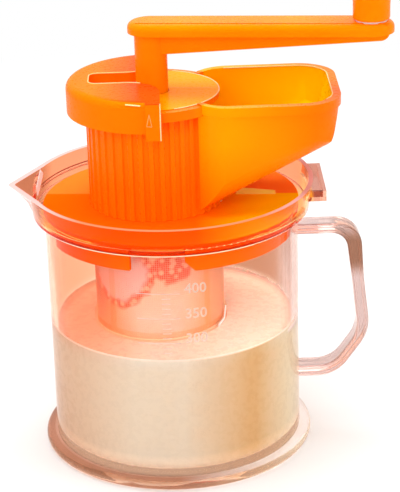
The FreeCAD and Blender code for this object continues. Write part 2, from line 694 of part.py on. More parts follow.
def lid():
    """Flat plate with a raised half cap, its slot, end ribs, locking lugs and a hub."""
    inner_r = CAP_R - CAP_WALL
    rib_z = CAP_SKIRT_Z - END_RIB_DROP
    cap = turned([
        (0, CAP_SKIRT_Z), (CAP_R, CAP_SKIRT_Z), (CAP_R, CAP_TOP, CAP_ROUND), (0, CAP_TOP)], BARREL_X)
    cap = cap.cut(pin(inner_r, CAP_SKIRT_Z, LID_TOP, BARREL_X))
    for side in (1, -1):
        rib = block(-END_RIB_WIDTH / 2, END_RIB_WIDTH / 2, CAP_WALL + END_RIB_PROUD, rib_z, CAP_TOP)
        rib.translate(Vector(BARREL_X, side * inner_r, 0))
        cap = cap.fuse(rib.cut(pin(inner_r, rib_z, LID_TOP, BARREL_X)))
    reach = CAP_R + END_RIB_PROUD + CUT_SPARE
    cap = cap.common(block(BARREL_X - reach, BARREL_X + CAP_EDGE_X, reach, rib_z, CAP_TOP))
    cap = cap.cut(lid_slot(LID_TOP, CAP_TOP))
    plate = pin(LID_PLATE_R, LID_SEAT, LID_TOP, BARREL_X)
    hub = pin(LID_HUB_R, LID_HUB_Z, LID_SEAT, BARREL_X)
    lugs = []
    lug_top = FLANGE_Z - LID_LUG_GAP
    lug_z = lug_top - LID_LUG_THICK
    for angle in LID_LUG_ANGLES:
        lug = sector(inner_r + MERGE, lug_z, lug_top, angle, LID_LUG_ARC / 2, BARREL_X)
        lugs.append(lug.cut(pin(FLANGE_R - LID_LUG_REACH, lug_z, lug_top, BARREL_X)))
    body = cap.fuse([plate, hub] + lugs)
    body = body.cut(pin(BUSH_R, LID_HUB_Z, BUSH_TOP, BARREL_X))
    body = body.cut(pin(POST_R + LID_HOLE_GAP, LID_HUB_Z, LID_TOP, BARREL_X))
    return body.removeSplitter()


def lid_bush():
    """Plain bearing bush for the crank's post, held in the lid's hub."""
    return tube(BUSH_R, BUSH_R - BUSH_WALL, LID_HUB_Z, BUSH_TOP, BARREL_X)


# Crank


def to_crank(shape):
    """Move a shape from the crank's own axes, with the arm along +X, to its place."""
    placed = shape.copy()
    placed.rotate(Vector(0, 0, 0), UP, CRANK_ANGLE)
    placed.translate(Vector(BARREL_X, 0, 0))
    return placed


def crank_arm():
    """Round post, broad top plate and a tapering hollow beam under it."""
    plate_z = CRANK_TOP - ARM_PLATE
    grip_end = ARM_LENGTH + ARM_HALF_WIDTH
    half = ARM_HALF_WIDTH
    plate = prism_xy([
        (-half, -half, half), (grip_end, -half, half), (grip_end, half, half), (-half, half, half)],
        plate_z, CRANK_TOP)
    plate = plate.makeFillet(ARM_ROUND, edges_at(plate, CRANK_TOP))
    deep_z = CRANK_TOP - BEAM_DEEP
    shallow_z = CRANK_TOP - BEAM_SHALLOW
    toe_x = grip_end - BEAM_TOE_INSET
    beam_top = plate_z + MERGE
    beam = prism_xz([
        (0, beam_top), (0, deep_z), (POST_R, deep_z), (toe_x, shallow_z, BEAM_TOE_ROUND),
        (toe_x, beam_top)], BEAM_WIDTH / 2)
    core_x = POST_R + BEAM_CORE_START
    core_end = ARM_LENGTH - PIN_R - BEAM_CORE_END
    core_top = CRANK_TOP - BEAM_CORE_TOP
    core_low = deep_z - CUT_SPARE
    core = prism_xz([
        (core_x, core_low), (core_end, core_low), (core_end, core_top), (core_x, core_top)],
        BEAM_CORE_WIDTH / 2)
    post = pin(POST_R, POST_Z, beam_top)
    arm = plate.fuse([beam.cut(core), post])
    held = DRIVE_SIZE / 2
    arm = arm.cut(block(-held, held, held, POST_Z, POST_Z + DRIVE_HELD))
    pin_hole = Part.makeCylinder(PIN_R, PIN_HELD, Vector(ARM_LENGTH, 0, CRANK_TOP - PIN_HELD))
    return to_crank(arm.cut(pin_hole).removeSplitter())


def drive_square():
    """Square steel key that joins the post to the auger."""
    held = DRIVE_SIZE / 2
    top = POST_Z + DRIVE_HELD
    return to_crank(block(-held, held, held, top - DRIVE_LENGTH, top))


def knob_washer():
    """Slip washer under the grip."""
    return to_crank(tube(GRIP_WASHER_R, PIN_R + PIN_FIT, CRANK_TOP, GRIP_Z, ARM_LENGTH))


def knob_pin():
    """Headed steel pin that the grip turns on."""
    head_z = GRIP_Z + GRIP_HEIGHT - GRIP_WELL_DEPTH + PIN_FIT
    shank = pin(PIN_R, CRANK_TOP - PIN_HELD, head_z, ARM_LENGTH)
    head = pin(PIN_HEAD_R, head_z, head_z + PIN_HEAD_THICK, ARM_LENGTH)
    return to_crank(shank.fuse(head).removeSplitter())


def grip_knob():
    """Turned grip: straight neck, swelling belly and rounded shoulder."""
    top = GRIP_Z + GRIP_HEIGHT
    outer = turned([
        (0, GRIP_Z), (GRIP_FOOT_R, GRIP_Z, GRIP_FOOT_ROUND),
        (GRIP_FOOT_R, GRIP_Z + GRIP_NECK, GRIP_NECK_ROUND),
        (GRIP_BELLY_R, GRIP_Z + GRIP_BELLY_RISE, GRIP_BELLY_ROUND),
        (GRIP_BELLY_R - GRIP_TOP_TAPER, top, GRIP_TOP_ROUND), (0, top)], ARM_LENGTH)
    bore = pin(PIN_R + PIN_FIT, GRIP_Z, top, ARM_LENGTH)
    well = pin(GRIP_WELL_R, top - GRIP_WELL_DEPTH, top, ARM_LENGTH)
    return to_crank(outer.cut([bore, well]))


def grip_cap():
    """Domed plug that closes the well over the pin's head."""
    top = GRIP_Z + GRIP_HEIGHT
    low = top - CAP_PLUG_DEPTH
    return to_crank(turned([
        (0, low), (GRIP_WELL_R, low), (GRIP_WELL_R, top), (0, top + CAP_CROWN)], ARM_LENGTH))


# Filter cup


def filter_frame():
    """Top ring, foot ring and upright ribs of the cup, one moulding."""
    frame = tube(CUP_R, CUP_BORE, CUP_RING_Z, LEDGE_Z, BARREL_X)
    frame = frame.fuse(tube(CUP_R, CUP_BORE, CUP_Z, CUP_Z + CUP_FOOT, BARREL_X))
    rib_out = CUP_R - CUP_RIB_INSET
    for angle in CUP_RIB_ANGLES:
        rib = block(CUP_BORE, rib_out, CUP_RIB_WIDTH / 2, CUP_Z + CUP_RIB_LAP, LEDGE_Z - CUP_RIB_LAP)
        rib.rotate(Vector(0, 0, 0), UP, angle)
        rib.translate(Vector(BARREL_X, 0, 0))
        frame = frame.fuse(rib)
    return frame.cut(pin(CUP_BORE, CUP_Z, LEDGE_Z, BARREL_X)).removeSplitter()


def filter_mesh():
    """Fine mesh sleeve inside the ribs."""
    return tube(CUP_BORE, CUP_BORE - MESH_THICK, CUP_Z + CUP_FLOOR_THICK, CUP_RING_Z + MESH_LAP, BARREL_X)


def filter_floor():
    """Floor disc of the cup, inside the foot ring."""
    return pin(CUP_BORE, CUP_Z, CUP_Z + CUP_FLOOR_THICK, BARREL_X)


NODES = (
    measuring_jug, jug_handle, base_plate, barrel_hopper, strainer_seal, strainer_basket, auger,
    auger_tip_pin, thrust_washer, lid, lid_bush, crank_arm, drive_square, knob_pin, knob_washer,
    grip_knob, grip_cap, filter_frame, filter_mesh, filter_floor)

os.makedirs("parts", exist_ok=True)
for make in NODES:
    shape = make()
    shape.exportStep("parts/" + make.__name__ + ".step")
    state = "valid" if shape.isValid() else "broken"
    print(make.__name__, len(shape.Solids), "solids", state, round(shape.Volume, 1), "mm3")
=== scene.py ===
import math
from functools import reduce

import bmesh
import bpy
from bpy.props import FloatProperty, FloatVectorProperty, PointerProperty
from bpy.types import Operator, Panel, PropertyGroup
from mathutils import Matrix, Vector, noise


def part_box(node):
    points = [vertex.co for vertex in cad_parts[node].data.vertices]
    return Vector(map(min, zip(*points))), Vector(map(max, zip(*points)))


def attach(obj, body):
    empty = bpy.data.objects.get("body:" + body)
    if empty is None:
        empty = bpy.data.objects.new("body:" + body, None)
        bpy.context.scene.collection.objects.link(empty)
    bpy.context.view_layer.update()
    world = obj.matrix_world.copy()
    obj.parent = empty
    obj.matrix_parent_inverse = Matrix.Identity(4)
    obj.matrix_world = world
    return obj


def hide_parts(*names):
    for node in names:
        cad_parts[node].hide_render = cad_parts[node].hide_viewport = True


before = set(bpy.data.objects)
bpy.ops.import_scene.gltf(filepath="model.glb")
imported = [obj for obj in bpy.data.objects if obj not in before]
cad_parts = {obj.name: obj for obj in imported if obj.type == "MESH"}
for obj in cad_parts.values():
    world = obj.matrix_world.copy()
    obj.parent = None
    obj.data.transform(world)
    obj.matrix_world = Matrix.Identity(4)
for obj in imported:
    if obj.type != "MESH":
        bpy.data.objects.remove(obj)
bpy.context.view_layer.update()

bl_info = {
    "name": "Manual Juicer",
    "version": (1, 0, 0),
    "blender": (4, 5, 0),
    "location": "View3D > Sidebar > Juicer",
    "description": "Dresses a hand-cranked juicer on its measuring jug, with its stage",
    "category": "Add Mesh",
}

MM = 0.001

# Lowest and highest corners of the nodes, read from the frame
JUG_LOW, JUG_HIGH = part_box("measuring_jug")
SLEEVE_LOW, SLEEVE_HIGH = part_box("filter_mesh")
CUP_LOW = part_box("filter_frame")[0]
PLATE_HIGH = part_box("base_plate")[1]
BARREL_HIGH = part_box("barrel_hopper")[1]
LID_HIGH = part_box("lid")[1]
BARREL_X = (SLEEVE_LOW.x + SLEEVE_HIGH.x) / 2

# Top of the lid's low plate, and top of the crank's arm
LID_PLATE_Z = 131.4 * MM
CRANK_TOP_MM = 156.2

# Rounding of the clear mouldings, and of the fine ones inside
CLEAR_EDGE = 0.25 * MM
FINE_EDGE = 0.15 * MM

# The scale's digits: their height as a share of the built-in font's size, and their rounding
DIGIT_SHARE = 0.7
DIGIT_ROUND = 0.06 * MM

# Jug wall and floor, which the milk and the scale follow
JUG_WALL_R = 45 * MM
JUG_BORE_R = 42.8 * MM
JUG_FLOOR_Z = 4.2 * MM
FLOOR_CORNER = 5 * MM

# The round at the foot of the jug's collar
STEP_LOW = 88.5 * MM
STEP_HIGH = 89.4 * MM

# Middle of the foam that clings to the net, and of the patch where the strainer's holes show
FOAM_AT = (-18 * MM, -16 * MM, 71 * MM)
HOLES_AT = (0, -21.5 * MM, 74 * MM)

# Where the plate's painted reflection of the bright background starts: a line across it, a little askew
SHEEN_FROM = 3.9 * MM
SHEEN_SLOPE = 0.09

# Camera of the photograph: place, aim, roll, and its frame
CAMERA_AT = Vector((0, -0.6399, 0.3316))
CAMERA_AIM = Vector((0, 0, 0.05))
CAMERA_ROLL = math.radians(-2.06)
CAMERA_FOCAL_PX = 1924
IMAGE_SIZE = (400, 492)
AIM_PX = (174.5, 304.6)
SENSOR_WIDTH = 36


# Sizes and colours that a user would change


def length(name, description, default_mm):
    """A length property, given in millimetres."""
    return FloatProperty(
        name=name, description=description, default=default_mm * MM, subtype="DISTANCE", unit="LENGTH")


def colour(name, description, default):
    """A colour property, in linear red, green and blue."""
    return FloatVectorProperty(
        name=name, description=description, default=default, size=3, min=0, max=1, subtype="COLOR")


class JuicerSizes(PropertyGroup):
    """Sizes of what is added to the frame."""
    edge_round: length("Edge Round", "Rounding of moulded edges", 0.4)
    # The pale lines along edges are painted highlights
    line_width: length("Line Width", "Width of the pale lines along moulded edges", 0.42)
    milk_level: length("Milk Level", "Height of the milk's surface over the table", 46.45)
    milk_climb: length("Milk Climb", "How far the milk climbs the wall", 1.85)
    net_pitch: length("Net Pitch", "Distance between the wires of the filter net", 0.75)
    net_wire: length("Net Wire", "Thickness of the net's wires", 0.13)
    hole_pitch: length("Hole Pitch", "Distance between the strainer's fine holes", 1.6)
    hole_size: length("Hole Size", "Width of one fine hole's bead", 0.8)
    foam_lumps: length("Foam Lumps", "How far the foam's surface swells and sinks", 1.6)
    digit_height: length("Digit Height", "Height of the scale's digits", 3.6)
    emboss: length("Emboss", "How far the scale stands out from the jug's wall", 0.15)
    scale_step: length("Scale Step", "Height of 50 ml on the scale", 9.2)


class JuicerColours(PropertyGroup):
    """Colours of the juicer's finishes."""
    orange: colour("Orange", "Main colour of the orange mouldings", (1.0, 0.195, 0.001))
    deep_orange: colour("Deep Orange", "Second tone of the orange mouldings", (1.0, 0.17, 0.0005))
    # Painted glow of light through the hopper's thin walls
    wall_glow_orange: colour("Thin Orange", "Colour of the hopper's thin walls", (1.0, 0.38, 0.0))
    # Painted glow inside the hopper
    hopper_inside_glow: colour("Hopper Inside", "Colour inside the hopper", (1.0, 0.46, 0.0))
    # Painted sheen: the plate's reflection of the bright background
    plate_sheen: colour("Plate Sheen", "Colour of the plate behind the barrel", (1.0, 0.21, 0.02))
    # Painted highlight on edges that catch the light
    edge_highlight: colour("Edge Highlight", "Colour of an edge that catches the light", (1.0, 0.60, 0.24))
    strainer: colour("Strainer", "Colour of the strainer bowl", (1.0, 0.12, 0.045))
    # The tints of the foot, wall, collar, spout and handle are painted light: painted shade and painted
    # orange glow
    foot_shade_tint: colour("Clear Foot", "Tint of the clear foot", (0.30, 0.14, 0.085))
    clear_low: colour("Clear Low Wall", "Tint of the wall in front of the milk", (0.97, 0.86, 0.74))
    clear_front: colour("Clear Front", "Tint of the front wall over the milk", (1.0, 0.98, 0.95))
    wall_glow_tint: colour("Clear Wall", "Tint of the back and left wall over the milk", (0.93, 0.54, 0.36))
    collar_glow_tint: colour("Clear Collar", "Tint of the collar", (0.97, 0.55, 0.16))
    spout_shade_tint: colour("Clear Spout", "Tint of the spout", (0.55, 0.17, 0.08))
    handle_shade_tint: colour("Clear Handle", "Tint of the handle", (0.62, 0.45, 0.42))
    clear_cup: colour("Clear Cup", "Tint of the filter cup", (0.99, 0.90, 0.80))
    # Painted highlights on the clear edges, coral where the orange shows through
    rim_coral_glint: colour("Rim Line", "Colour of the collar's coral lines", (1.0, 0.88, 0.62))
    rim_pale_glint: colour("Pale Rim", "Colour of the clear edges that catch the light", (0.92, 0.68, 0.66))
    milk: colour("Milk", "Colour of the milk", (0.61, 0.55, 0.475))
    # Painted shade of the milk under the spout
    milk_shaded: colour("Shaded Milk", "Tone of the milk under the spout", (0.545, 0.38, 0.275))
    milk_warm: colour("Warm Milk", "Tone of the milk towards the handle", (0.56, 0.355, 0.17))
    milk_edge: colour("Milk Edge", "Tone of the milk at the handle's side", (0.70, 0.64, 0.50))
    # Painted light on the milk's surface: lighter than its side, shaded under the spout
    milk_top: colour("Milk Surface", "Tone of the milk's surface", (0.96, 0.80, 0.69))
    milk_top_left: colour("Left Milk Surface", "Tone of the surface under the spout", (0.92, 0.66, 0.52))
    milk_ring: colour("Milk Foam Ring", "Tone of the fine foam round the milk's edge", (0.82, 0.62, 0.54))
    film: colour("Film", "Colour of the milk film in the net", (0.84, 0.53, 0.42))
    film_warm: colour("Warm Film", "Colour of the film before the strainer", (0.94, 0.40, 0.20))
    foam: colour("Foam", "Colour of the foam", (0.90, 0.47, 0.44))
    foam_rim: colour("Foam Rim", "Colour of the foam where the strainer shows through", (0.86, 0.08, 0.03))
    net: colour("Net", "Colour of the filter net", (0.95, 0.62, 0.48))
    floor: colour("Floor", "Colour of the studio floor", (0.80, 0.79, 0.785))


def sizes():
    """The sizes set in this scene."""
    return bpy.context.scene.juicer_sizes


# Node trees


def put(tree, kind, values=None, **settings):
    """Add a node with its settings; values are constants or sockets to link, by input."""
    node = tree.nodes.new(kind)
    for key, value in settings.items():
        setattr(node, key, value)
    for key, value in (values or {}).items():
        if isinstance(value, bpy.types.NodeSocket):
            tree.links.new(value, node.inputs[key])
        else:
            node.inputs[key].default_value = value
    return node


def first_of(tree, kind, values=None, **settings):
    """Add a node as put() does, and give its first output."""
    return put(tree, kind, values, **settings).outputs[0]


def math_node(tree, operation, *values):
    """Result of a Math node on up to three values."""
    return first_of(tree, "ShaderNodeMath", dict(enumerate(values)), operation=operation)


def times(tree, *values):
    """Product of two or more values."""
    return reduce(lambda one, other: math_node(tree, "MULTIPLY", one, other), values)


def largest(tree, *values):
    """The largest of two or more values."""
    return reduce(lambda one, other: math_node(tree, "MAXIMUM", one, other), values)


def remap(tree, value, low, high, to_low=0.0, to_high=1.0):
    """A value carried from one range to another, kept within it."""
    return first_of(tree, "ShaderNodeMapRange", {0: value, 1: low, 2: high, 3: to_low, 4: to_high})


def own_place(tree):
    """The shaded point in the object's own coordinates."""
    return put(tree, "ShaderNodeTexCoord").outputs["Object"]


def axis(tree, name):
    """The object's own X, Y or Z at the shaded point."""
    axes = tree.nodes.get("Own Axes")
    if axes is None:
        axes = put(tree, "ShaderNodeSeparateXYZ", {0: own_place(tree)}, name="Own Axes")
    return axes.outputs[name]


def off_axis(tree, centre_x=0.0):
    """Distance from an upright axis at centre_x."""
    away = math_node(tree, "SUBTRACT", axis(tree, "X"), centre_x)
    depth = axis(tree, "Y")
    squares = math_node(tree, "ADD", times(tree, away, away), times(tree, depth, depth))
    return math_node(tree, "SQRT", squares)


def off_spot(tree, spot, cloud, uneven):
    """Distance from a spot, made uneven by the slow clouds by so many millimetres."""
    off = put(tree, "ShaderNodeVectorMath", {0: own_place(tree), 1: spot}, operation="DISTANCE")
    return math_node(tree, "MULTIPLY_ADD", cloud, uneven * MM, off.outputs["Value"])


def ramp(tree, way, low, high, start=0.0, end=1.0):
    """Start below the low place and end above the high one, in millimetres; way is an axis or a distance."""
    way = axis(tree, way) if isinstance(way, str) else way
    return remap(tree, way, low * MM, high * MM, start, end)


def as_colour(given):
    """A colour as a node takes it; it is given as a socket, as red, green and blue, or by its name."""
    if isinstance(given, bpy.types.NodeSocket):
        return given
    if isinstance(given, str):
        given = getattr(bpy.context.scene.juicer_colours, given)
    return (*given, 1.0)


def mix_colour(tree, factor, first, second, blend="MIX"):
    """Colour between two colours."""
    inputs = {0: factor, 6: as_colour(first), 7: as_colour(second)}
    return put(tree, "ShaderNodeMix", inputs, data_type="RGBA", blend_type=blend).outputs[2]


def shift(tree, way, low, high, first, second):
    """First colour below the low place and second colour above the high one, in millimetres."""
    return mix_colour(tree, ramp(tree, way, low, high), first, second)


def bump(tree, height, strength, distance):
    """Normal from a height."""
    return first_of(tree, "ShaderNodeBump", {"Strength": strength, "Distance": distance, "Height": height})


def cell_distance(tree, fineness):
    """Distance from the middle of the nearest bubble in a pattern of that fineness."""
    cells = put(tree, "ShaderNodeTexVoronoi", {"Vector": own_place(tree), "Scale": fineness})
    return cells.outputs["Distance"]


# Shader groups, which more than one material uses


def moulded_skin(tree, given):
    """Slow tone clouds and a fine grain, as moulded plastic has."""
    def pattern(fineness, detail, roughness):
        """Plain noise of that fineness."""
        return first_of(tree, "ShaderNodeTexNoise", {
            "Vector": own_place(tree), "Scale": fineness, "Detail": detail, "Roughness": roughness})

    cloud = remap(tree, pattern(given["Cloud Size"], 2.0, 0.5), 0.35, 0.65)
    return {"Cloud": cloud, "Grain": pattern(given["Grain Size"], 3.0, 0.6)}


def film_tones(tree, given):
    """Film in the net: foam and red strainer holes show on the spout's side, and it is palest in front."""
    def around(spot, near, far):
        """One near the spot, nought past the far distance, with an uneven edge."""
        return ramp(tree, off_spot(tree, spot, given["Cloud"], 2.5), near, far, 1, 0)

    aside = math_node(tree, "ABSOLUTE", math_node(tree, "ADD", axis(tree, "X"), 6 * MM))
    warm = largest(tree, ramp(tree, aside, 7, 17), ramp(tree, "Z", 56, 74, 0, 0.7))
    base = mix_colour(tree, warm, "film", "film_warm")
    left = times(tree, ramp(tree, "X", -26, -18, 1, 0), ramp(tree, "Z", 50, 62))
    base = mix_colour(tree, left, base, (0.80, 0.17, 0.08))
    red = largest(tree, around(FOAM_AT, 13.5, 15), around(HOLES_AT, 7, 8.5))
    between_holes = remap(tree, cell_distance(tree, 420.0), 0.28, 0.52)
    holes = mix_colour(tree, between_holes, (1.0, 0.40, 0.25), (0.86, 0.11, 0.045))
    base = mix_colour(tree, red, base, holes)
    return {"Tone": mix_colour(tree, around(FOAM_AT, 10.5, 12.5), base, "foam")}


# Each group has its inputs with their defaults, its outputs with their kinds, and its plan
SHARED_GROUPS = {
    "Moulded Skin": (
        {"Cloud Size": 30.0, "Grain Size": 900.0},
        {"Cloud": "NodeSocketFloat", "Grain": "NodeSocketFloat"},
        moulded_skin),
    "Film Tones": ({"Cloud": 0.5}, {"Tone": "NodeSocketColor"}, film_tones),
}


def place_group(tree, name, values):
    """Place a shared group with its own values, and give its outputs; it is built at its first use."""
    group = bpy.data.node_groups.get(name)
    if group is None:
        inputs, outputs, plan = SHARED_GROUPS[name]
        group = bpy.data.node_groups.new(name, "ShaderNodeTree")
        for label, value in inputs.items():
            socket = group.interface.new_socket(label, in_out="INPUT", socket_type="NodeSocketFloat")
            socket.default_value = value
        for label, kind in outputs.items():
            group.interface.new_socket(label, in_out="OUTPUT", socket_type=kind)
        put(group, "NodeGroupOutput", plan(group, put(group, "NodeGroupInput").outputs))
    return put(tree, "ShaderNodeGroup", values, node_tree=group).outputs


# Materials


def principled(tree, inputs):
    """A Principled shader with those inputs."""
    return put(tree, "ShaderNodeBsdfPrincipled", inputs)


def grained(tree, grain, smoothest, roughest):
    """Roughness that follows a fine pattern."""
    return remap(tree, grain, 0.3, 0.7, smoothest, roughest)


def clouded(first, second):
    """Colour that drifts slowly between two tones."""
    return lambda tree, cloud: mix_colour(tree, cloud, first, second)


plain_orange = clouded("deep_orange", "orange")
crank_orange = clouded((1.0, 0.215, 0.0), (1.0, 0.245, 0.001))


def glossy(base_of, glow=0.2, shine=0.1):
    """Look of coloured moulded plastic; base_of gives its colour from the tree and the slow tone clouds."""
    def look(tree, cloud, grain):
        return principled(tree, {
            "Base Color": base_of(tree, cloud),
            "Roughness": grained(tree, grain, 0.24, 0.34),
            "Normal": bump(tree, grain, 0.03, 0.02 * MM),
            "IOR": 1.48,
            "Specular IOR Level": shine,
            "Specular Tint": (1.0, 0.55, 0.15, 1),
            "Subsurface Weight": glow,
            "Subsurface Radius": (1.0, 0.4, 0.05),
            "Subsurface Scale": 2 * MM,
        })
    return look


def hopper_orange(tree, cloud):
    """Orange with a painted glow where more light comes through the hopper's thin walls, most of all by the
    barrel, and a painted shadow on the barrel under its flange.
    """
    radius = off_axis(tree, BARREL_X)
    past_flange = ramp(tree, radius, 25.9, 26.2)
    under_flange = ramp(tree, "Z", 127.6, 127.8, 1, 0)
    past_barrel = times(tree, under_flange, ramp(tree, radius, 23.6, 23.9))
    trough = times(tree, ramp(tree, "X", 8, 11), largest(tree, past_flange, past_barrel))
    # Painted glow of the thin walls, strongest by the barrel and towards the top
    along = ramp(tree, "X", 12, 50, 1, 0.02)
    upward = ramp(tree, "Z", 94, 118, 0.25, 1)
    # Painted shadow on the barrel under its flange
    shaded = times(tree, ramp(tree, "Z", 121, 127, 0, 0.8), ramp(tree, radius, 23.3, 23.8, 1, 0))
    barrel = mix_colour(tree, shaded, plain_orange(tree, cloud), (1.0, 0.08, 0.001))
    return mix_colour(tree, times(tree, along, upward, trough), barrel, "wall_glow_orange")


def hopper_inside_orange(tree, cloud):
    """Painted glow inside the hopper, strongest towards its outer end."""
    return shift(tree, "X", 15, 50, "hopper_inside_glow", (1.0, 0.64, 0.0))


def plate_orange(tree, cloud):
    """Orange plate, darker in front, with painted light: a painted reflection of the bright background
    behind the barrel, and the right of its top painted lighter.
    """
    def behind(slope):
        """How far behind the origin a point lies, measured from a line across the plate with that slope."""
        return math_node(tree, "MULTIPLY_ADD", axis(tree, "X"), slope, axis(tree, "Y"))

    sheen = remap(tree, behind(SHEEN_SLOPE), SHEEN_FROM - 0.4 * MM, SHEEN_FROM + 0.4 * MM)
    on_top = remap(tree, axis(tree, "Z"), PLATE_HIGH.z - 0.6 * MM, PLATE_HIGH.z - 0.3 * MM)
    # Painted light: the right of the plate's top is painted lighter
    right = times(tree, ramp(tree, "X", 8, 40), on_top)
    front = mix_colour(tree, right, (1.0, 0.12, 0.001), (1.0, 0.58, 0.0))
    plate = mix_colour(tree, sheen, front, "plate_sheen")
    # A painted reflection of the hopper's bright underside in the plate
    mirrored = times(tree, ramp(tree, behind(0.33), 15.6, 16.2, 1, 0), ramp(tree, behind(0.1), 3.0, 3.4),
                     ramp(tree, "X", 23.0, 23.6), ramp(tree, "X", 37.0, 37.6, 1, 0))
    return mix_colour(tree, mirrored, plate, (1.0, 1.0, 0.16))


def lid_orange(tree, cloud):
    """Orange lid with painted light: its low plate is painted lighter, as in full light, and a painted
    reflection darkens the cap's top towards the post.
    """
    height = axis(tree, "Z")
    near = math_node(tree, "LESS_THAN", off_axis(tree, BARREL_X), 26.4 * MM)
    from_plate = math_node(tree, "ABSOLUTE", math_node(tree, "SUBTRACT", height, LID_PLATE_Z))
    low = math_node(tree, "LESS_THAN", from_plate, 0.15 * MM)
    cap_top = math_node(tree, "GREATER_THAN", height, LID_HIGH.z - 0.3 * MM)
    # Painted reflection that darkens the cap's top towards the post
    by_post = times(tree, cap_top, ramp(tree, "X", -26, -10))
    upper = mix_colour(tree, by_post, plain_orange(tree, cloud), (1.0, 0.075, 0.004))
    # The low plate painted lighter, as in full light
    return mix_colour(tree, times(tree, near, low), upper, (1.0, 0.32, 0.001))


def rim_glint_colour(tree, cloud):
    """Painted light on the edges of the collar and the foot: coral where the orange shows through in front,
    whitish highlights elsewhere, darker on the rim's top.
    """
    aside = largest(tree, ramp(tree, math_node(tree, "ABSOLUTE", axis(tree, "X")), 30, 44),
                    ramp(tree, "Y", -20, 0), ramp(tree, "Z", 20, 60, 1, 0))
    high = remap(tree, axis(tree, "Z"), JUG_HIGH.z - 4 * MM, JUG_HIGH.z - 3 * MM)
    coral = mix_colour(tree, high, "rim_coral_glint", (1.0, 0.22, 0.10))
    pale = mix_colour(tree, high, "rim_pale_glint", (0.80, 0.46, 0.43))
    return mix_colour(tree, aside, coral, pale)


def clear(tint, edge_tint, ior=1.49, roughness=0.02, clearness=1.0, shadow=(0.97, 0.86, 0.80)):
    """Look of clear plastic with a light shadow; edge_tint is a painted tint where it is seen edge-on,
    standing in for the dark outlines that its edges refract.
    """
    def look(tree, cloud, grain):
        path = put(tree, "ShaderNodeLightPath").outputs
        facing = put(tree, "ShaderNodeLayerWeight", {"Blend": 0.5}).outputs["Facing"]
        face_tint = tint(tree) if callable(tint) else tint
        # Painted glow: light that runs on inside the wall is made to come out as a warm glow
        trapped = math_node(tree, "GREATER_THAN", path["Glossy Depth"], 1.5)
        edge_on = remap(tree, facing, 0.62, 0.97)
        glass = principled(tree, {
            "Base Color": mix_colour(tree, edge_on, face_tint, edge_tint, "MULTIPLY"),
            "Roughness": roughness,
            "Normal": bump(tree, cloud, 0.08, 0.25 * MM),
            "IOR": ior,
            "Specular Tint": (0.6, 0.3, 0.15, 1),
            "Transmission Weight": clearness,
            "Emission Color": (1.0, 0.66, 0.52, 1),
            "Emission Strength": times(tree, trapped, 0.3),
        })
        through = first_of(tree, "ShaderNodeBsdfTransparent", {"Color": as_colour(shadow)})
        return put(tree, "ShaderNodeMixShader", {0: path["Is Shadow Ray"], 1: glass.outputs[0], 2: through})
    return look


def jug_painted_light(tree):
    """The clear wall's tint is painted light that takes on what is near it: painted shade in the brown foot
    and the spout, the milk, a painted orange glow of the plate at the back, and a painted orange glow in the
    collar.
    """
    brown = shift(tree, "Z", 1, 3, (0.84, 0.64, 0.56), "foot_shade_tint")
    foot = shift(tree, "X", 0, 30, brown, (0.86, 0.84, 0.84))
    back = shift(tree, "X", 0, 12, "wall_glow_tint", (0.55, 0.24, 0.14))
    wall = shift(tree, "Y", 0, 14, "clear_front", shift(tree, "Z", 46, 50, "wall_glow_tint", back))
    wall = shift(tree, "X", -44, -12, "wall_glow_tint", wall)
    # Painted shade on the wall and the collar towards the handle
    wall = shift(tree, "X", 39, 43, wall, (0.64, 0.44, 0.38))
    collar = shift(tree, "Y", 0, 14, "collar_glow_tint", (0.92, 0.34, 0.17))
    collar = shift(tree, "X", -47, -43, "spout_shade_tint", collar)
    collar = shift(tree, "X", 49, 50, collar, (0.60, 0.25, 0.18))
    flange = times(tree, ramp(tree, off_axis(tree), 45.4, 46), ramp(tree, "Z", 8, 9, 1, 0))
    flange = largest(tree, flange, ramp(tree, "Z", 3.5, 5, 1, 0))
    low = mix_colour(tree, flange, shift(tree, "Z", 44, 50, "clear_low", wall), foot)
    return shift(tree, "Z", 86, 89, low, collar)


def handle_painted_light(tree):
    """Painted light in the handle's tint: its pinkish painted shade, and a painted brown wedge of shade at
    its outer bend.
    """
    wedge = times(tree, ramp(tree, "Z", 60, 64), ramp(tree, "Z", 74, 80, 1, 0), ramp(tree, "X", 56, 58))
    return mix_colour(tree, wedge, "handle_shade_tint", (0.30, 0.14, 0.09))


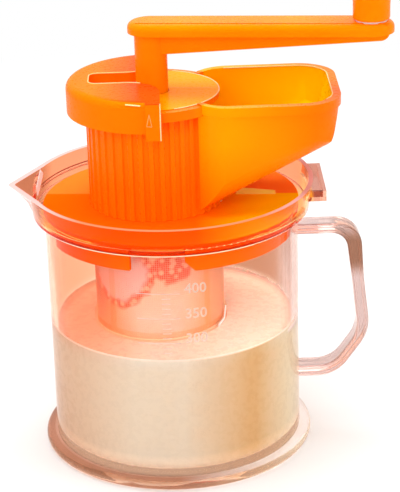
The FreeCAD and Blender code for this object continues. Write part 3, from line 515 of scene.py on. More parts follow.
def milk_look(tree, cloud, grain):
    """Milk with painted light: painted shade under the spout, whitest in front and warmer towards the
    handle; a surface painted lighter than its side, with painted shade under the spout; and a painted glow
    at its foot and on the right of its surface.
    """
    place = math_node(tree, "MULTIPLY_ADD", cloud, 2 * MM, axis(tree, "X"))
    side = shift(tree, place, -38, -14, "milk_shaded", "milk")
    side = shift(tree, place, 4, 27, side, "milk_warm")
    side = shift(tree, place, 29, 42, side, "milk_edge")
    radius = off_axis(tree)
    surface = shift(tree, "X", -30, -4, "milk_top_left", "milk_top")
    uneven_radius = math_node(tree, "MULTIPLY_ADD", cloud, 0.8 * MM, radius)
    surface = shift(tree, uneven_radius, 42, 43.2, surface, "milk_ring")
    height = axis(tree, "Z")
    level = sizes().milk_level
    edge = level + sizes().milk_climb
    flat = times(tree, ramp(tree, radius, 42.3, 42.6, 1, 0),
                 remap(tree, height, level - MM, level - 0.5 * MM))
    top = largest(tree, flat, remap(tree, height, edge - 0.9 * MM, edge - 0.3 * MM))
    # Painted glow at the milk's foot and on the right of its surface
    foot_glow = ramp(tree, "Z", 5, 11, 0.35, 0)
    top_glow = times(tree, top, ramp(tree, "X", 0, 26, 0, 0.36))
    return principled(tree, {
        "Base Color": mix_colour(tree, top, side, surface),
        "Roughness": grained(tree, grain, 0.22, 0.34),
        "Normal": bump(tree, cloud, 0.02, 0.05 * MM),
        "IOR": 1.35,
        "Subsurface Weight": 0.3,
        "Subsurface Radius": (1.0, 0.8, 0.6),
        "Subsurface Scale": 2 * MM,
        "Emission Color": (0.9, 0.62, 0.46, 1),
        "Emission Strength": math_node(tree, "ADD", foot_glow, top_glow),
    })


def foam_look(tree, cloud, grain):
    """Foam of fine bubbles: pale in its middle, red from the strainer towards its rim."""
    cells = cell_distance(tree, 700.0)
    base = shift(tree, off_spot(tree, FOAM_AT, cloud, 3), 7, 12, "foam", "foam_rim")
    return principled(tree, {
        "Base Color": mix_colour(tree, remap(tree, cells, 0.15, 0.5, 0.0, 0.6), base, "foam_rim"),
        "Roughness": 0.55,
        "Normal": bump(tree, cells, 0.5, 0.3 * MM),
        "Subsurface Weight": 0.5,
        "Subsurface Radius": (1.0, 0.6, 0.45),
        "Subsurface Scale": 1.5 * MM,
    })


def film_look(tree, cloud, grain):
    """Milk film that clings inside the net."""
    return principled(tree, {
        "Base Color": place_group(tree, "Film Tones", {"Cloud": cloud})["Tone"],
        "Roughness": grained(tree, grain, 0.3, 0.45),
        "Normal": bump(tree, grain, 0.3, 0.1 * MM),
        "IOR": 1.35,
    })


def net_look(tree, cloud, grain):
    """Fine nylon wire, which takes on the tones of the film behind it."""
    film = place_group(tree, "Film Tones", {"Cloud": cloud})["Tone"]
    return principled(tree, {
        "Base Color": mix_colour(tree, 0.5, film, "net"),
        "Roughness": grained(tree, grain, 0.35, 0.5),
        "Subsurface Weight": 0.4,
        "Subsurface Scale": 0.3 * MM,
    })


def steel_look(tree, cloud, grain):
    """Turned steel with fine rings round its axis."""
    flattened = first_of(tree, "ShaderNodeMapping", {0: own_place(tree), 3: (60, 60, 6000)})
    rings = first_of(tree, "ShaderNodeTexNoise", {"Vector": flattened, "Scale": 1.0, "Detail": 2.0})
    return principled(tree, {
        "Base Color": mix_colour(tree, cloud, (0.60, 0.61, 0.63), (0.72, 0.72, 0.73)),
        "Metallic": 1.0,
        "Roughness": grained(tree, rings, 0.22, 0.38),
        "Normal": bump(tree, rings, 0.1, 0.02 * MM),
    })


def soft(tone, pale_tone, roughness, glow):
    """Look of plain soft or waxy plastic, such as nylon and silicone."""
    def look(tree, cloud, grain):
        return principled(tree, {
            "Base Color": mix_colour(tree, cloud, tone, pale_tone),
            "Roughness": grained(tree, grain, roughness, roughness + 0.12),
            "Normal": bump(tree, grain, 0.15, 0.03 * MM),
            "Subsurface Weight": glow,
            "Subsurface Scale": MM,
        })
    return look


def floor_look(tree, cloud, grain):
    """Pale matt floor; past the juicer's shadow it is seen as plain white."""
    base = mix_colour(tree, cloud, "floor", (0.83, 0.825, 0.82))
    near = principled(tree, {"Base Color": base, "Roughness": 0.9}).outputs[0]
    far = first_of(tree, "ShaderNodeEmission", {"Color": (1, 1, 1, 1), "Strength": 1.0})
    away = put(tree, "ShaderNodeVectorMath", {0: own_place(tree)}, operation="LENGTH").outputs["Value"]
    path = put(tree, "ShaderNodeLightPath").outputs
    seen = largest(tree, path["Is Camera Ray"], path["Is Transmission Ray"])
    white = times(tree, seen, remap(tree, away, 0.22, 0.5))
    return put(tree, "ShaderNodeMixShader", {0: white, 1: near, 2: far})


# Fineness of the skin's clouds and of its grain, on three kinds of plastic
GLOSSY_SKIN = (28.0, 700.0)
CLEAR_SKIN = (45.0, 260.0)
SOFT_SKIN = (60.0, 1200.0)

# Each finish has its material's name, its skin and its look
FINISHES = {
    "orange": ("Orange Plastic", GLOSSY_SKIN, glossy(plain_orange)),
    "hopper": ("Hopper Plastic", GLOSSY_SKIN, glossy(hopper_orange)),
    "hopper_inside_glow": ("Hopper Inside Plastic", GLOSSY_SKIN, glossy(hopper_inside_orange)),
    "plate": ("Plate Plastic", GLOSSY_SKIN, glossy(plate_orange, shine=0.0)),
    "lid": ("Lid Plastic", GLOSSY_SKIN, glossy(lid_orange, shine=0.03)),
    "crank": ("Crank Plastic", GLOSSY_SKIN, glossy(crank_orange, shine=0.07)),
    "mark_orange": ("Pale Orange", GLOSSY_SKIN, glossy(clouded((1.0, 0.34, 0.08), (1.0, 0.40, 0.12)))),
    "edge_highlight": ("Edge Highlight", GLOSSY_SKIN, glossy(clouded("edge_highlight", (1.0, 0.72, 0.38)))),
    "strainer": ("Strainer Plastic", GLOSSY_SKIN, glossy(clouded("strainer", (1.0, 0.10, 0.035)), glow=0.3)),
    "rim": ("Jug Edge Glint", GLOSSY_SKIN, glossy(rim_glint_colour, glow=0.0, shine=0.0)),
    "jug": ("Clear Plastic", CLEAR_SKIN, clear(jug_painted_light, (0.86, 0.68, 0.60), ior=1.2)),
    "handle": ("Clear Handle Plastic", CLEAR_SKIN, clear(handle_painted_light, (0.50, 0.33, 0.28))),
    "cup": ("Clear Cup Plastic", CLEAR_SKIN, clear(
        "clear_cup", (1.0, 0.95, 0.91), ior=1.0, shadow=(1.0, 0.985, 0.97))),
    "mark": ("Clear Mark Plastic", CLEAR_SKIN, clear(
        (0.80, 0.72, 0.66), (1.0, 1.0, 1.0), ior=1.02, roughness=0.4, clearness=0.6)),
    "low_mark": ("Clear Low Mark Plastic", CLEAR_SKIN, clear((1.0, 0.99, 0.98), (1.0, 1.0, 1.0), ior=1.01)),
    "glint": ("Clear Edge Glint", SOFT_SKIN, soft((1.0, 0.95, 0.97), (1.0, 0.98, 0.99), 0.3, 0.0)),
    "seam": ("Clear Edge Seam", SOFT_SKIN, soft((0.30, 0.03, 0.05), (0.40, 0.06, 0.08), 0.3, 0.0)),
    "cup_edge": ("Clear Cup Edge", SOFT_SKIN, soft((0.92, 0.60, 0.44), (0.96, 0.68, 0.52), 0.4, 0.0)),
    "splash": ("Milk Foam", SOFT_SKIN, soft((0.95, 0.80, 0.76), (0.98, 0.88, 0.84), 0.35, 0.2)),
    "nylon": ("Nylon", SOFT_SKIN, soft((0.80, 0.77, 0.70), (0.88, 0.86, 0.80), 0.4, 0.3)),
    "silicone": ("Silicone", SOFT_SKIN, soft((0.84, 0.83, 0.80), (0.90, 0.89, 0.87), 0.55, 0.2)),
    "milk": ("Milk", (14.0, 420.0), milk_look),
    "foam": ("Foam", (90.0, 900.0), foam_look),
    "film": ("Milk Film", (110.0, 900.0), film_look),
    "net": ("Net Wire", (110.0, 2000.0), net_look),
    "steel": ("Turned Steel", (80.0, 1500.0), steel_look),
    "floor": ("Studio Floor", (6.0, 300.0), floor_look),
}
made_materials = {}


def make_material(name, skin_sizes, look):
    """A node material; look gives its shader from the tree and the skin's clouds and grain."""
    material = bpy.data.materials.new(name)
    material.use_nodes = True
    tree = material.node_tree
    tree.nodes.clear()
    cloud_size, grain_size = skin_sizes
    skin = place_group(tree, "Moulded Skin", {"Cloud Size": cloud_size, "Grain Size": grain_size})
    shader = look(tree, skin["Cloud"], skin["Grain"])
    put(tree, "ShaderNodeOutputMaterial", {"Surface": shader.outputs[0]})
    return material


def finish(name):
    """The material of that finish, made when it is first asked for."""
    if name not in made_materials:
        made_materials[name] = make_material(*FINISHES[name])
    return made_materials[name]


# Meshes

# Corners sharper than this stay hard, and are rounded or lined
SHARP_ANGLE = math.radians(27)

# Faces and points of the CAD meshes that are merged, and points that are one
SAME_PLANE = math.radians(0.6)
WELD = 2e-6
SAME_POINT = 1e-7


def add_object(name, mesh, material):
    """Link a mesh to the scene as an object with one material."""
    mesh.materials.clear()
    mesh.materials.append(material)
    piece = bpy.data.objects.new(name, mesh)
    bpy.context.scene.collection.objects.link(piece)
    return piece


def plain_mesh(bm, name):
    """Turn an edit mesh into mesh data."""
    mesh = bpy.data.meshes.new(name)
    bm.to_mesh(mesh)
    bm.free()
    return mesh


def mesh_from(bm, name, corners=False):
    """Turn an edit mesh into smooth-shaded mesh data, with its sharp corners kept where asked."""
    for face in bm.faces:
        face.smooth = True
    for link in bm.edges if corners else ():
        link.smooth = len(link.link_faces) == 2 and link.calc_face_angle() < SHARP_ANGLE
    return plain_mesh(bm, name)


def fix_modifiers(piece):
    """Put the modified mesh in the place of the piece's own, and take its modifiers away."""
    seen = piece.evaluated_get(bpy.context.evaluated_depsgraph_get())
    mesh = bpy.data.meshes.new_from_object(seen)
    piece.modifiers.clear()
    piece.data = mesh


def moulded_copy(node, name, edge, material):
    """Copy of a node's form with merged corners and rounded edges."""
    bm = bmesh.new()
    bm.from_mesh(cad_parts[node].data)
    for layer in list(bm.loops.layers.float_vector.values()):
        bm.loops.layers.float_vector.remove(layer)
    bmesh.ops.remove_doubles(bm, verts=bm.verts, dist=WELD)
    bmesh.ops.dissolve_limit(bm, angle_limit=SAME_PLANE, verts=bm.verts, edges=bm.edges)
    mesh = mesh_from(bm, name, corners=True)
    custom = mesh.attributes.get("custom_normal")
    if custom:
        mesh.attributes.remove(custom)
    piece = add_object(name, mesh, material)
    rounding = piece.modifiers.new("Edge Round", "BEVEL")
    rounding.width = edge
    rounding.segments = 2
    rounding.limit_method = "ANGLE"
    rounding.angle_limit = SHARP_ANGLE
    rounding.use_clamp_overlap = True
    rounding.harden_normals = True
    rounding.miter_outer = "MITER_ARC"
    return piece


def line_edges(piece, lit, material_name):
    """Give the rounded edges where lit(centre, normal) holds a finish of their own, such as a painted
    highlight.
    """
    piece.data.materials.append(finish(material_name))
    piece.modifiers["Edge Round"].material = 1
    fix_modifiers(piece)
    for face in piece.data.polygons:
        if face.material_index == 1 and not lit(face.center, face.normal):
            face.material_index = 0


def edge_beads(piece, name, body, lit, width):
    """Painted highlights: pale lines along the sharp edges of a piece where lit(middle, outward) holds."""
    bm = bmesh.new()
    bm.from_mesh(piece.data)
    for face in list(bm.faces):
        face.normal_update()
    plain = []
    for link in bm.edges:
        if len(link.link_faces) == 2 and link.calc_face_angle() > SHARP_ANGLE:
            middle = (link.verts[0].co + link.verts[1].co) / 2
            outward = (link.link_faces[0].normal + link.link_faces[1].normal).normalized()
            if lit(middle, outward):
                continue
        plain.append(link)
    bmesh.ops.delete(bm, geom=list(bm.faces), context="FACES_ONLY")
    bmesh.ops.delete(bm, geom=plain, context="EDGES")
    lines = grow(name, edge_wire_plan, {"Width": width}, finish("edge_highlight"), plain_mesh(bm, name))
    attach(lines, body)


def close_bar(bm, rings):
    """Walls from ring to ring of four corners, with an end on the first and on the last ring."""
    for near, far in zip(rings, rings[1:]):
        for k in range(4):
            j = (k + 1) % 4
            bm.faces.new((near[k], near[j], far[j], far[k]))
    bm.faces.new(rings[0])
    bm.faces.new(rings[-1])


def straight_marks(name, lines, width, depth, body, material_name):
    """Thin raised bars, each given in millimetres: from, to, and the way it faces."""
    bm = bmesh.new()
    for line in lines:
        start, end, out = (Vector(v) for v in line)
        start, end = start * MM, end * MM
        across = (end - start).cross(out).normalized() * width / 2
        close_bar(bm, [
            [bm.verts.new(at + side * across + lift * out)
             for side, lift in ((-1, -depth / 2), (1, -depth / 2), (1, depth), (-1, depth))]
            for at in (start, end)])
    bmesh.ops.recalc_face_normals(bm, faces=bm.faces)
    marks = add_object(name, plain_mesh(bm, name), finish(material_name))
    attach(marks, body)


def paint_faces(piece, material_name, chosen):
    """Give the faces where chosen(centre, normal) holds another finish."""
    piece.data.materials.append(finish(material_name))
    for face in piece.data.polygons:
        if chosen(face.center, face.normal):
            face.material_index = len(piece.data.materials) - 1


def dress(node, name, body, edge, material_name):
    """Stand a finished copy in for a node, on the body given, and hide the node."""
    piece = moulded_copy(node, name, edge, finish(material_name))
    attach(piece, body)
    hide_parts(node)
    return piece


def rounded(corners, steps=6):
    """Profile points from corners (r, z) or (r, z, round): a round corner becomes an arc."""
    points = []
    for i, corner in enumerate(corners):
        here = Vector(corner[:2])
        if len(corner) < 3:
            points.append(here)
            continue
        back = (Vector(corners[i - 1][:2]) - here).normalized()
        onward = (Vector(corners[i + 1][:2]) - here).normalized()
        half = back.angle(onward) / 2
        radius = corner[2]
        centre = here + (back + onward).normalized() * radius / math.sin(half)
        start = here + back * radius / math.tan(half) - centre
        end = here + onward * radius / math.tan(half) - centre
        for k in range(steps + 1):
            turn = start.angle_signed(end) * k / steps
            points.append(centre + Matrix.Rotation(-turn, 2) @ start)
    return points


def turned(name, profile, material, centre_x=0.0, segments=160, closed=False):
    """Solid of revolution about an upright axis; a profile that isn't closed has its ends on the axis."""
    bm = bmesh.new()
    rings = []
    for r, z in profile:
        turns = [2 * math.pi * i / segments for i in range(segments if r > SAME_POINT else 1)]
        rings.append([bm.verts.new((centre_x + r * math.cos(t), r * math.sin(t), z)) for t in turns])
    for low, high in zip(rings, rings[1:] + rings[:1] if closed else rings[1:]):
        for i in range(segments):
            j = (i + 1) % segments
            around = (low[i % len(low)], low[j % len(low)], high[j % len(high)], high[i % len(high)])
            corners = list(dict.fromkeys(around))
            if len(corners) > 2:
                bm.faces.new(corners)
    bmesh.ops.recalc_face_normals(bm, faces=bm.faces)
    return add_object(name, mesh_from(bm, name, corners=True), material)


def grow(name, plan, inputs, material, start=None):
    """Make a plain mesh from a Geometry Nodes plan with named inputs, and a mesh to start from."""
    tree = bpy.data.node_groups.new(name + " Plan", "GeometryNodeTree")
    kinds = {float: "NodeSocketFloat", int: "NodeSocketInt"}
    tree.interface.new_socket("Geometry", in_out="INPUT", socket_type="NodeSocketGeometry")
    for label, value in inputs.items():
        tree.interface.new_socket(label, in_out="INPUT", socket_type=kinds[type(value)])
    tree.interface.new_socket("Geometry", in_out="OUTPUT", socket_type="NodeSocketGeometry")
    given = put(tree, "NodeGroupInput").outputs
    real = first_of(tree, "GeometryNodeRealizeInstances", {0: plan(tree, given)})
    painted = first_of(tree, "GeometryNodeSetMaterial", {"Geometry": real, "Material": material})
    put(tree, "NodeGroupOutput", {0: painted})
    carrier = bpy.data.objects.new(name, start or bpy.data.meshes.new(name))
    bpy.context.scene.collection.objects.link(carrier)
    modifier = carrier.modifiers.new(name, "NODES")
    modifier.node_group = tree
    for item in tree.interface.items_tree:
        if item.in_out == "INPUT" and item.name in inputs:
            modifier[item.identifier] = inputs[item.name]
    fix_modifiers(carrier)
    carrier.data.name = name
    return carrier


# Plans of what repeats


def up(tree, height):
    """A vector that points up by that height."""
    return first_of(tree, "ShaderNodeCombineXYZ", {2: height})


def circle(tree, points, radius):
    """A level circle of so many points."""
    inputs = {"Resolution": points, "Radius": radius}
    return first_of(tree, "GeometryNodeCurvePrimitiveCircle", inputs, mode="RADIUS")


def swept(tree, path, section):
    """A section carried along a path."""
    inputs = {"Curve": path, "Profile Curve": section, "Fill Caps": True}
    return first_of(tree, "GeometryNodeCurveToMesh", inputs)


def row(tree, count, offset, start=(0.0, 0.0, 0.0)):
    """So many points in a row, each one offset from the last."""
    inputs = {"Count": count, "Start Location": start, "Offset": offset}
    return first_of(tree, "GeometryNodeMeshLine", inputs, mode="OFFSET")


def stood_on(tree, points, piece, kept=True):
    """The piece on each of the points that are kept."""
    inputs = {"Points": points, "Selection": kept, "Instance": piece}
    return first_of(tree, "GeometryNodeInstanceOnPoints", inputs)


def edge_wire_plan(tree, given):
    """Round wire along the edges of the mesh it is given."""
    along = first_of(tree, "GeometryNodeMeshToCurve", {0: given["Geometry"]})
    return swept(tree, along, circle(tree, 6, times(tree, given["Width"], 0.5)))


def wires_plan(tree, given):
    """Upright wires and level rings of a round net."""
    radius = given["Radius"]
    wire = times(tree, given["Wire"], 0.5)
    section = circle(tree, 5, wire)
    around = circle(tree, given["Upright Wires"], radius)
    spots = first_of(tree, "GeometryNodeCurveToPoints", {0: around}, mode="EVALUATED")
    upright = first_of(tree, "GeometryNodeCurvePrimitiveLine", {"End": up(tree, given["Height"])})
    ring = circle(tree, 120, math_node(tree, "SUBTRACT", radius, wire))
    levels = row(tree, given["Rings"], up(tree, given["Pitch"]))
    joined = put(tree, "GeometryNodeJoinGeometry")
    for points, path in ((spots, upright), (levels, ring)):
        tree.links.new(stood_on(tree, points, swept(tree, path, section)), joined.inputs[0])
    place = first_of(tree, "ShaderNodeCombineXYZ", {0: given["Centre X"], 2: given["Low Z"]})
    return first_of(tree, "GeometryNodeTransform", {"Geometry": joined.outputs[0], "Translation": place})


def ticks_plan(tree, given):
    """Level bars that follow the jug's round wall, one above the other."""
    arc = first_of(tree, "GeometryNodeCurveArc", {
        "Resolution": 16, "Radius": given["Radius"], "Start Angle": given["Start Angle"],
        "Sweep Angle": given["Sweep"]}, mode="RADIUS")
    section = first_of(tree, "GeometryNodeCurvePrimitiveQuadrilateral", {
        "Width": given["Depth"], "Height": given["Thickness"]}, mode="RECTANGLE")
    levels = row(tree, given["Count"], up(tree, given["Step"]), up(tree, given["Low Z"]))
    # The marks that come first in each group may be left out, where a longer one stands there
    in_group = math_node(tree, "MODULO", first_of(tree, "GeometryNodeInputIndex"), given["Group"])
    kept = math_node(tree, "GREATER_THAN", in_group, math_node(tree, "SUBTRACT", given["Keep From"], 0.5))
    return stood_on(tree, levels, swept(tree, arc, section), kept)


def beads_plan(tree, given):
    """Low beads in staggered rows round a bowl."""
    count = given["Per Row"]
    radius = given["Radius"]
    spots = row(tree, times(tree, count, given["Rows"]), (0.0, 0.0, 0.0))
    index = first_of(tree, "GeometryNodeInputIndex")
    level = math_node(tree, "FLOOR", math_node(tree, "DIVIDE", index, count))
    along = math_node(tree, "SUBTRACT", index, times(tree, level, count))
    along = math_node(tree, "MULTIPLY_ADD", level, 0.5, along)
    angle = math_node(tree, "DIVIDE", times(tree, along, 2 * math.pi), count)
    place = first_of(tree, "ShaderNodeCombineXYZ", {
        0: math_node(tree, "MULTIPLY_ADD", math_node(tree, "COSINE", angle), radius, given["Centre X"]),
        1: times(tree, math_node(tree, "SINE", angle), radius),
        2: math_node(tree, "MULTIPLY_ADD", level, given["Pitch"], given["Low Z"])})
    placed = first_of(tree, "GeometryNodeSetPosition", {"Geometry": spots, "Position": place})
    bead = first_of(tree, "GeometryNodeMeshIcoSphere", {
        "Radius": times(tree, given["Size"], 0.5), "Subdivisions": 1})
    return stood_on(tree, placed, bead)


# Pieces


def scale_digits(text, height, low_z, left_x, emboss):
    """Raised digits on the jug's front wall, bent round it."""
    curve = bpy.data.curves.new("digits " + text, "FONT")
    curve.body = text
    curve.size = height / DIGIT_SHARE
    curve.extrude = emboss / 2
    curve.bevel_depth = DIGIT_ROUND
    curve.resolution_u = 3
    writing = bpy.data.objects.new("digits " + text, curve)
    bpy.context.scene.collection.objects.link(writing)
    bpy.context.view_layer.update()
    mesh = bpy.data.meshes.new_from_object(writing)
    bpy.data.objects.remove(writing)
    turn = math.asin(left_x / JUG_WALL_R)
    for vertex in mesh.vertices:
        x, y, z = vertex.co
        angle = turn + x / JUG_WALL_R
        radius = JUG_WALL_R + z + emboss * 0.2
        vertex.co = (radius * math.sin(angle), -radius * math.cos(angle), low_z + y)
    return mesh


def joined_object(name, meshes, material):
    """One object from several meshes."""
    bm = bmesh.new()
    for mesh in meshes:
        bm.from_mesh(mesh)
        bpy.data.meshes.remove(mesh)
    bmesh.ops.remove_doubles(bm, verts=bm.verts, dist=SAME_POINT)
    bmesh.ops.recalc_face_normals(bm, faces=bm.faces)
    return add_object(name, plain_mesh(bm, name), material)


def wall_marks(name, inputs, finish_name):
    """Level bars on the jug's wall; a single one, unless the inputs say otherwise."""
    single = {"Step": MM, "Count": 1, "Group": 1, "Keep From": 0}
    marks = grow(name, ticks_plan, {**single, **inputs}, finish(finish_name))
    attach(marks, "jug")
    return marks


class JUICER_OT_press_head(Operator):
    """Dress the orange mouldings: base plate, barrel with hopper, and lid"""
    bl_idname = "juicer.press_head"
    bl_label = "Press Head"

    # The triangle on the lid's end rib, and the line on its low plate
    lid_marks = (
        ((-6.2, -31.2, 132.7), (-7.1, -31.2, 128.6), (0, -1, 0)),
        ((-7.1, -31.2, 128.6), (-5.4, -31.2, 128.4), (0, -1, 0)),
        ((-5.4, -31.2, 128.4), (-6.2, -31.2, 132.7), (0, -1, 0)),
        ((1.1, 1.8, 131.4), (15.7, 0, 131.4), (0, 0, 1)))

    # The light on the cap's front edge, and the tiny marks on the plate, which take the pale colour of the
    # painted edge highlights
    cap_glint = (((-14, -28.3, 135.5), (-9, -29.4, 135.2), (0, -0.7, 0.7)),)
    plate_marks = (
        ((12.5, -13.8, 91.6), (12.9, -12.2, 91.6), (0, 0, 1)),
        ((14.2, -11.4, 91.6), (14.9, -9.9, 91.6), (0, 0, 1)),
        ((16.0, -8.6, 91.6), (16.6, -7.2, 91.6), (0, 0, 1)),
        ((17.5, -6.0, 91.6), (17.9, -5.0, 91.6), (0, 0, 1)))

    @staticmethod
    def in_hopper(at, normal):
        """Faces of the hopper's trough that look inward."""
        inward = normal.y * at.y < -1e-4 or at.x > 30 * MM and normal.x < -0.2
        inward = inward or at.x > 14 * MM and normal.z > 0.2
        past_barrel = (at - Vector((BARREL_X, 0, at.z))).length > 23.8 * MM
        return inward and past_barrel and at.x > 10 * MM and at.z < BARREL_HIGH.z - 0.3 * MM

    @staticmethod
    def hopper_rim(at, outward):
        """The hopper's upper inner edge, but for the side next to the viewer."""
        inner = outward.y * at.y < 0 or outward.x < -0.2
        return at.z > BARREL_HIGH.z - MM and at.x > 22 * MM and at.y > -18 * MM and inner

    @staticmethod
    def lid_edge(at, outward):
        """The upper edges of the lid's plate, slot and cap, and the corners of its end ribs."""
        upward = outward.z > 0.25 and at.z > LID_PLATE_Z - 0.5 * MM
        slot = at.z > LID_PLATE_Z + MM and abs(at.y) < 8 * MM and -30 * MM < at.x < -9 * MM
        plate_rim = abs(at.z - LID_PLATE_Z) < 0.5 * MM and at.x > 2 * MM
        rib = abs(at.y) > 28 * MM and abs(outward.z) < 0.3 and (at.x > -5 * MM or at.y > 0)
        return upward and (slot or plate_rim) or rib

    def execute(self, context):
        edge = sizes().edge_round
        line = sizes().line_width
        dress("base_plate", "plate_moulding", "head", edge, "plate")
        barrel = dress("barrel_hopper", "barrel_and_hopper", "barrel", edge, "hopper")
        # The hopper's inner faces take a painted glow
        paint_faces(barrel, "hopper_inside_glow", self.in_hopper)
        # Painted highlights along the hopper's rim and the lid's edges
        edge_beads(barrel, "hopper_edge_lines", "barrel", self.hopper_rim, line)
        lid = dress("lid", "lid_moulding", "lid", edge, "lid")
        edge_beads(lid, "lid_edge_lines", "lid", self.lid_edge, line)
        straight_marks("lid_marks", self.lid_marks, 0.25 * MM, 0.12 * MM, "lid", "mark_orange")
        straight_marks("cap_glint", self.cap_glint, 0.4 * MM, 0.2 * MM, "lid", "edge_highlight")
        straight_marks("plate_marks", self.plate_marks, 0.5 * MM, 0.3 * MM, "head", "edge_highlight")
        return {"FINISHED"}


class JUICER_OT_crank(Operator):
    """Dress the crank arm and its grip"""
    bl_idname = "juicer.crank"
    bl_label = "Crank"

    # The low line along the arm's top
    crank_mark = (((-10, -3.3, CRANK_TOP_MM), (75.3, -14.8, CRANK_TOP_MM), (0, 0, 1)),)

    def execute(self, context):
        edge = sizes().edge_round
        dress("crank_arm", "crank_moulding", "crank", edge, "crank")
        dress("grip_knob", "grip_moulding", "grip", edge, "crank")
        straight_marks("crank_mark", self.crank_mark, 0.5 * MM, 0.2 * MM, "crank", "orange")
        dress("grip_cap", "grip_plug", "grip", edge / 2, "orange")
        return {"FINISHED"}


class JUICER_OT_inner_parts(Operator):
    """Give the auger and the small inner parts their finishes"""
    bl_idname = "juicer.inner_parts"
    bl_label = "Inner Parts"

    def execute(self, context):
        dress("auger", "auger_screw", "screw", sizes().edge_round / 2, "orange")
        for node, name in (("auger_tip_pin", "steel"), ("drive_square", "steel"), ("knob_pin", "steel"),
                           ("thrust_washer", "nylon"), ("lid_bush", "nylon"), ("knob_washer", "nylon"),
                           ("strainer_seal", "silicone")):
            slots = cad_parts[node].data.materials
            slots.clear()
            slots.append(finish(name))
        return {"FINISHED"}


class JUICER_OT_jug(Operator):
    """Dress the clear measuring jug and its handle"""
    bl_idname = "juicer.jug"
    bl_label = "Measuring Jug"

    # Where the spout opens from the collar's inside and catches the light
    spout_glint = (((-46.0, 13.6, 98.2), (-47.8, 5.4, 92.6), (0.9, -0.4, 0.2)),)

    # Lines round the back of the collar's inside: name, lower edge, height and finish, in millimetres
    collar_lines = (("collar_glint", 92.3, 0.9, "glint"), ("collar_seam", 93.2, 0.35, "seam"))
    collar_line_r = 48.35 * MM
    collar_line_from = math.radians(118)
    collar_line_sweep = math.radians(46)

    @staticmethod
    def on_edge(at, normal):
        """The rounded edges of the collar and of the foot."""
        return at.z > STEP_LOW or at.z < 8 * MM

    @staticmethod
    def on_rim(at, normal):
        """The flat top of the rim, and the lower round of the collar's step."""
        on_top = normal.z > 0.9 and at.z > JUG_HIGH.z - 0.2 * MM
        return on_top or (STEP_LOW < at.z < STEP_HIGH and at.xy.length > 48.2 * MM)

    def execute(self, context):
        jug = dress("measuring_jug", "clear_jug", "jug", CLEAR_EDGE, "jug")
        # The collar's and the foot's rounded edges and the rim's flat top take painted highlights
        line_edges(jug, self.on_edge, "rim")
        paint_faces(jug, "rim", self.on_rim)
        dress("jug_handle", "handle_shade_tint", "jug", CLEAR_EDGE, "handle")
        straight_marks("spout_glint", self.spout_glint, 2.3 * MM, 0.1 * MM, "jug", "glint")
        for name, low, tall, finish_name in self.collar_lines:
            wall_marks(name, {
                "Radius": self.collar_line_r,
                "Start Angle": self.collar_line_from,
                "Sweep": self.collar_line_sweep,
                "Depth": 0.15 * MM,
                "Thickness": tall * MM,
                "Low Z": low * MM,
            }, finish_name)
        return {"FINISHED"}


class JUICER_OT_scale(Operator):
    """Emboss the volume scale on the jug's front"""
    bl_idname = "juicer.scale"
    bl_label = "Volume Scale"

    # First mark, in millilitres, and how many long marks there are
    first_ml = 100
    mark_count = 7
    first_z = 18.5 * MM
    digits_x = 3.4 * MM

    # Left end and width of the marks
    long_marks = (-12.9 * MM, 15.0 * MM)
    short_marks = (-4.3 * MM, 3.0 * MM)

    @staticmethod
    def before_milk(at, normal):
        """Marks that have the milk behind them."""
        return at.z < sizes().milk_level + 5 * MM

    def execute(self, context):
        size = sizes()
        step = size.scale_step
        meshes = []
        for i in range(self.mark_count):
            text = str(self.first_ml + 50 * i)
            low = self.first_z + i * step
            meshes.append(scale_digits(text, size.digit_height, low, self.digits_x, size.emboss))
        digits = joined_object("scale_digits", meshes, finish("mark"))
        paint_faces(digits, "low_mark", self.before_milk)
        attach(digits, "jug")
        for name, (left, wide), count, pitch, group in (
                ("scale_long_marks", self.long_marks, self.mark_count, step, 1),
                ("scale_short_marks", self.short_marks, 5 * (self.mark_count - 1) + 1, step / 5, 5)):
            marks = wall_marks(name, {
                "Radius": JUG_WALL_R + size.emboss / 4,
                "Start Angle": math.asin(left / JUG_WALL_R) - math.pi / 2,
                "Sweep": wide / JUG_WALL_R,
                "Depth": size.emboss,
                "Thickness": 0.3 * MM,
                "Low Z": self.first_z,
                "Step": pitch,
                "Count": count,
                "Group": group,
                "Keep From": min(group - 1, 1),
            }, "mark")
            paint_faces(marks, "low_mark", self.before_milk)
        return {"FINISHED"}


